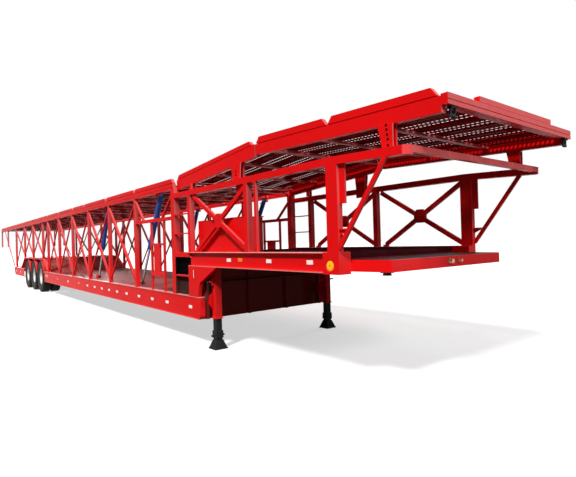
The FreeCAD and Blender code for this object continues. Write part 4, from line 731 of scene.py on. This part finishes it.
leg_x = 8.95
leg_y = 1.08
peg_height = 0.190
foot_height = 0.070
square_on = Matrix.Rotation(math.pi / 4, 4, "Z")
leg_blocks = {"ram": (0.275, 0.094, 0.309, 0.005), "collar": (0.205, 0.118, 0.110, 0.006),
              "shoe": (0.0065, 0.210, 0.013, 0.003)}
rams = bmesh.new()
for side in (-1, 1):
    y = side * leg_y
    for height, width, depth, bevel in leg_blocks.values():
        plate_at(rams, (leg_x, y, height), (width, width, depth), bevel)
    bmesh.ops.create_cone(rams, cap_ends=True, segments=4, radius1=0.138, radius2=0.076,
                          depth=0.118,
                          matrix=Matrix.Translation((leg_x, y, foot_height)) @ square_on)
    for middle, half, radius in ((0, 0.105, 0.009), (-0.098, 0.004, 0.015), (0.098, 0.004, 0.015)):
        bar_between(rams, (leg_x, y + middle - half, peg_height),
                    (leg_x, y + middle + half, peg_height), radius)
in_place("landing_rams_and_feet", rams, black, "trailer", "black_paint", "landing_leg_rams")

crank_y = -1.222
grip_y = -1.226
gearbox_height = 0.835
crank = bmesh.new()
bar_between(crank, (leg_x, -1.200, 0.960), (leg_x, -1.232, 0.960), 0.017)
bar_between(crank, (leg_x, crank_y, 0.965), (leg_x, crank_y, 0.700), 0.010)
bar_between(crank, (leg_x, grip_y, 0.706), (leg_x - 0.130, grip_y, 0.706), 0.013)
bar_between(crank, (leg_x, 1.128, gearbox_height), (leg_x, 1.240, gearbox_height), 0.012)
bar_between(crank, (leg_x, 1.131, gearbox_height), (leg_x, 1.145, gearbox_height), 0.026, 6)
in_place("leg_crank", crank, black, "trailer", "black_paint")


# Nose fittings: two air couplings with their caps on the nose's front plate, and a rubber
# buffer bolted under its right front corner.
brass = bright_steel("coupling_metal", (0.46, 0.34, 0.22), 0.34, 90.0)
coupling_height = 1.258
couplings = bmesh.new()
for y, size in ((-0.06, 0.8), (0.11, 0.5)):
    for x_rear, x_front, radius, sides in (
            (12.060, 12.072, 0.034, 6), (12.072, 12.095, 0.022, 16), (12.095, 12.108, 0.029, 16)):
        bar_between(couplings, (x_rear, y, coupling_height), (x_front, y, coupling_height),
                    radius * size, sides)
    wing = 0.05 * size
    bar_between(couplings, (12.085, y - wing, coupling_height), (12.085, y + wing, coupling_height),
                0.006, 8)
in_place("air_couplings", couplings, brass, "trailer", "red_paint")
buffer_x, buffer_y = 11.965, -0.955
buffer = bmesh.new()
plate_at(buffer, (buffer_x, buffer_y, 1.189), (0.100, 0.088, 0.010), 0.003)
bmesh.ops.create_cone(buffer, cap_ends=True, segments=20, radius1=0.046, radius2=0.036, depth=0.024,
                      matrix=Matrix.Translation((buffer_x, buffer_y, 1.173)))
in_place("nose_buffer", buffer, tyre_rubber, "trailer", "black_paint")


# Upper deck fittings: the pin holes that set the front supports' height, each drawn as a
# near-black disc of painted shade, and a dark shackle with its pin hung under each end of the
# front header.
support_face = 1.2083
hole_places = [(12.206, 2.497), (12.210, 2.457), (12.216, 2.412), (12.222, 2.371), (12.222, 2.318),
               (9.748, 2.430), (9.748, 2.385)]
holes = bmesh.new()
for side in (-1, 1):
    for x, z in hole_places:
        front = side_disc(holes, (x, side * support_face, z), side, 14, 0.013, 0.0115, 0.0016)
        bmesh.ops.inset_region(holes, faces=[front], thickness=0.002, depth=-0.0006)
in_place("support_pin_holes", holes, shade_black, "trailer", "black_paint")
shackle_x = 12.772
shackle_pin_height = 2.462
shackles = bmesh.new()
for side in (-1, 1):
    y = side * 1.085
    plate_at(shackles, (shackle_x, y, 2.530), (0.046, 0.085, 0.020), 0.004)
    for arm in (-0.030, 0.030):
        bar_between(shackles, (shackle_x, y + arm, 2.522), (shackle_x, y + arm, 2.450), 0.011)
    bar_between(shackles, (shackle_x, y - 0.050, shackle_pin_height),
                (shackle_x, y + 0.050, shackle_pin_height), 0.009)
    bmesh.ops.create_uvsphere(shackles, u_segments=14, v_segments=8, radius=0.019,
                              matrix=Matrix.Translation((shackle_x, y, shackle_pin_height)))
in_place("header_shackles", shackles, black, "trailer", "black_paint")


# Window shade sheets: near-black sheets behind the two openings of the step, painted shade
# that fills the windows, fixed to the front of the ladder post and along the top of each
# locker, with a rolled edge.
shade_sheet_gauge = 0.003
windows = ((0.734, 1.014), (1.038, 1.312))
shade_sheets = bmesh.new()
for side in (-1, 1):
    for low, high in windows:
        plate_at(shade_sheets, (7.9517, side * 1.200, (low + high) / 2),
                 (shade_sheet_gauge, 0.090, high - low), 0.001)
    plate_at(shade_sheets, (8.180, side * 1.1868, 1.284), (0.450, shade_sheet_gauge, 0.054), 0.001)
in_place("window_shade_sheets", shade_sheets, shade_black, "trailer", "black_paint")


# Axles: square beams with a turned stub at each end, the brake chambers and their
# camshafts behind, and the slack adjusters that join the two.
chamber_y = 0.262
chamber_height = 0.590
chamber_turns = ((0.100, 0.170, 0.010, 10), (0.170, 0.215, 0.072, 20),
                 (0.215, 0.228, 0.080, 20), (0.228, 0.305, 0.070, 20))
camshaft_setback = 0.105
camshaft_height = 0.500
axles = bmesh.new()
for axle_x in axle_xs:
    plate_at(axles, (axle_x, 0, axle_height), (0.148, 1.296, 0.148), 0.018)
    bar_between(axles, (axle_x, -1.063, axle_height), (axle_x, 1.063, axle_height), 0.0448, 20)
    camshaft_x = axle_x - camshaft_setback
    for side in (-1, 1):
        bar_between(axles, (axle_x, side * 0.560, axle_height), (axle_x, side * 0.647, axle_height),
                    0.088, 20)
        bar_between(axles, (camshaft_x, side * 0.235, camshaft_height),
                    (camshaft_x, side * 0.640, camshaft_height), 0.017)
        plate_at(axles, (camshaft_x, side * chamber_y, 0.535), (0.034, 0.020, 0.130), 0.005)
        for near_end, far_end, radius, sides in chamber_turns:
            bar_between(axles, (axle_x - near_end, side * chamber_y, chamber_height),
                        (axle_x - far_end, side * chamber_y, chamber_height), radius, sides)
        plate_at(axles, (axle_x - 0.130, side * 0.300, 0.560), (0.120, 0.012, 0.100), 0.004)
in_place("braked_axles", axles, black, "trailer", "black_paint", "axles")


# Leaf springs: nine arched leaves to a pack, each shorter than the one above, clamped to
# the beam by two U-bolts with a plate and nuts below, and a plate under their bends.
spring_y = 0.480
leaf_count = 9
leaf_gauge = 0.0132
leaf_pitch = 0.0139
leaf_width = 0.088
longest_reach = 0.505
reach_step = 0.053
pack_top = 0.735
arch = 0.095
packs = bmesh.new()
for axle_x in axle_xs:
    for side in (-1, 1):
        y = side * spring_y
        for leaf in range(leaf_count):
            reach = longest_reach - reach_step * leaf
            strip = bmesh.ops.create_grid(
                packs, x_segments=14 - leaf, y_segments=1, size=0.5,
                matrix=Matrix.Translation((axle_x, y, 0))
                @ Matrix.Diagonal((2 * reach, leaf_width, 1, 1)))["verts"]
            faces = list(dict.fromkeys(face for corner in strip for face in corner.link_faces))
            bmesh.ops.solidify(packs, geom=faces, thickness=leaf_gauge)
            # The new leaf is the only one that still lies flat on the ground.
            for corner in packs.verts:
                if abs(corner.co.z) < leaf_gauge * 1.2:
                    corner.co.z += pack_top - leaf_pitch * leaf + arch * (corner.co.x - axle_x) ** 2
        for x in (axle_x - 0.060, axle_x + 0.060):
            for leg in (y - 0.053, y + 0.053):
                bar_between(packs, (x, leg, 0.425), (x, leg, 0.766), 0.009, 8)
                bar_between(packs, (x, leg, 0.424), (x, leg, 0.440), 0.016, 6)
            bar_between(packs, (x, y - 0.062, 0.762), (x, y + 0.062, 0.762), 0.009, 8)
        plate_at(packs, (axle_x, y, 0.450), (0.190, 0.135, 0.020), 0.004)
        plate_at(packs, (axle_x, y, 0.745), (0.170, 0.092, 0.018), 0.004)
in_place("leaf_packs", packs, black, "trailer", "black_paint", "leaf_springs")


# Mud flaps: a black rubber sheet behind the last wheels on each side, held to the
# mudguard's rear edge by a clamping strip with five bolts.
strip_height = 0.690
bolt_pitch = 0.110
flaps = bmesh.new()
for side in (-1, 1):
    y = side * 0.950
    plate_at(flaps, (-6.1370, y, 0.520), (0.008, 0.500, 0.400), 0.002)
    plate_at(flaps, (-6.1440, y, strip_height), (0.007, 0.500, 0.040), 0.002)
    for place in (-2, -1, 0, 1, 2):
        bolt_y = y + place * bolt_pitch
        bar_between(flaps, (-6.1470, bolt_y, strip_height),
                    (-6.1540, bolt_y, strip_height), 0.009, 6)
in_place("mud_flaps", flaps, tyre_rubber, "trailer", "tyre_rubber")


# Tool cabinet: two bow latches on its inner side, under the lid's lip. They stay on the
# body, so that the lid swings free.
bow_y = -0.840
bow_top = 1.802
bow_bottom = 1.762
latches = bmesh.new()
for x in (8.85, 9.52):
    plate_at(latches, (x, -0.8475, 1.785), (0.050, 0.005, 0.070), 0.0015)
    bar_between(latches, (x - 0.022, -0.839, bow_top), (x + 0.022, -0.839, bow_top), 0.006)
    for wire_x in (x - 0.016, x + 0.016):
        bar_between(latches, (wire_x, bow_y, bow_top), (wire_x, bow_y, bow_bottom), 0.0035, 8)
    bar_between(latches, (x - 0.018, bow_y, bow_bottom), (x + 0.018, bow_y, bow_bottom), 0.0045, 8)
in_place("cabinet_latches", latches, pin_steel, "trailer", "pin_steel")


# Cylinder ports: a hose nipple with a hexagon nut near each end of every barrel, on its
# inner side, where the oil lines are screwed in.
barrels = (("middle", Vector((7.165, 0, 2.435)), Vector((6.560, 0, 1.435))),
           ("rear", Vector((4.225, 0, 2.435)), Vector((3.725, 0, 1.435))))
port_turns = ((1.072, 1.056, 0.020, 16), (1.058, 1.046, 0.015, 6), (1.048, 1.034, 0.009, 12))
for barrel, head, foot in barrels:
    for side_name, side in both_sides:
        ports = bmesh.new()
        for share in (0.13, 0.90):
            port = head + (foot - head) * share
            for y_outer, y_inner, radius, sides in port_turns:
                bar_between(ports, (port.x, side * y_outer, port.z),
                            (port.x, side * y_inner, port.z), radius, sides)
        in_place(f"oil_ports_{barrel}_{side_name}", ports, pin_steel,
                 f"cylinder_barrel_{barrel}_{side_name}", "pin_steel")
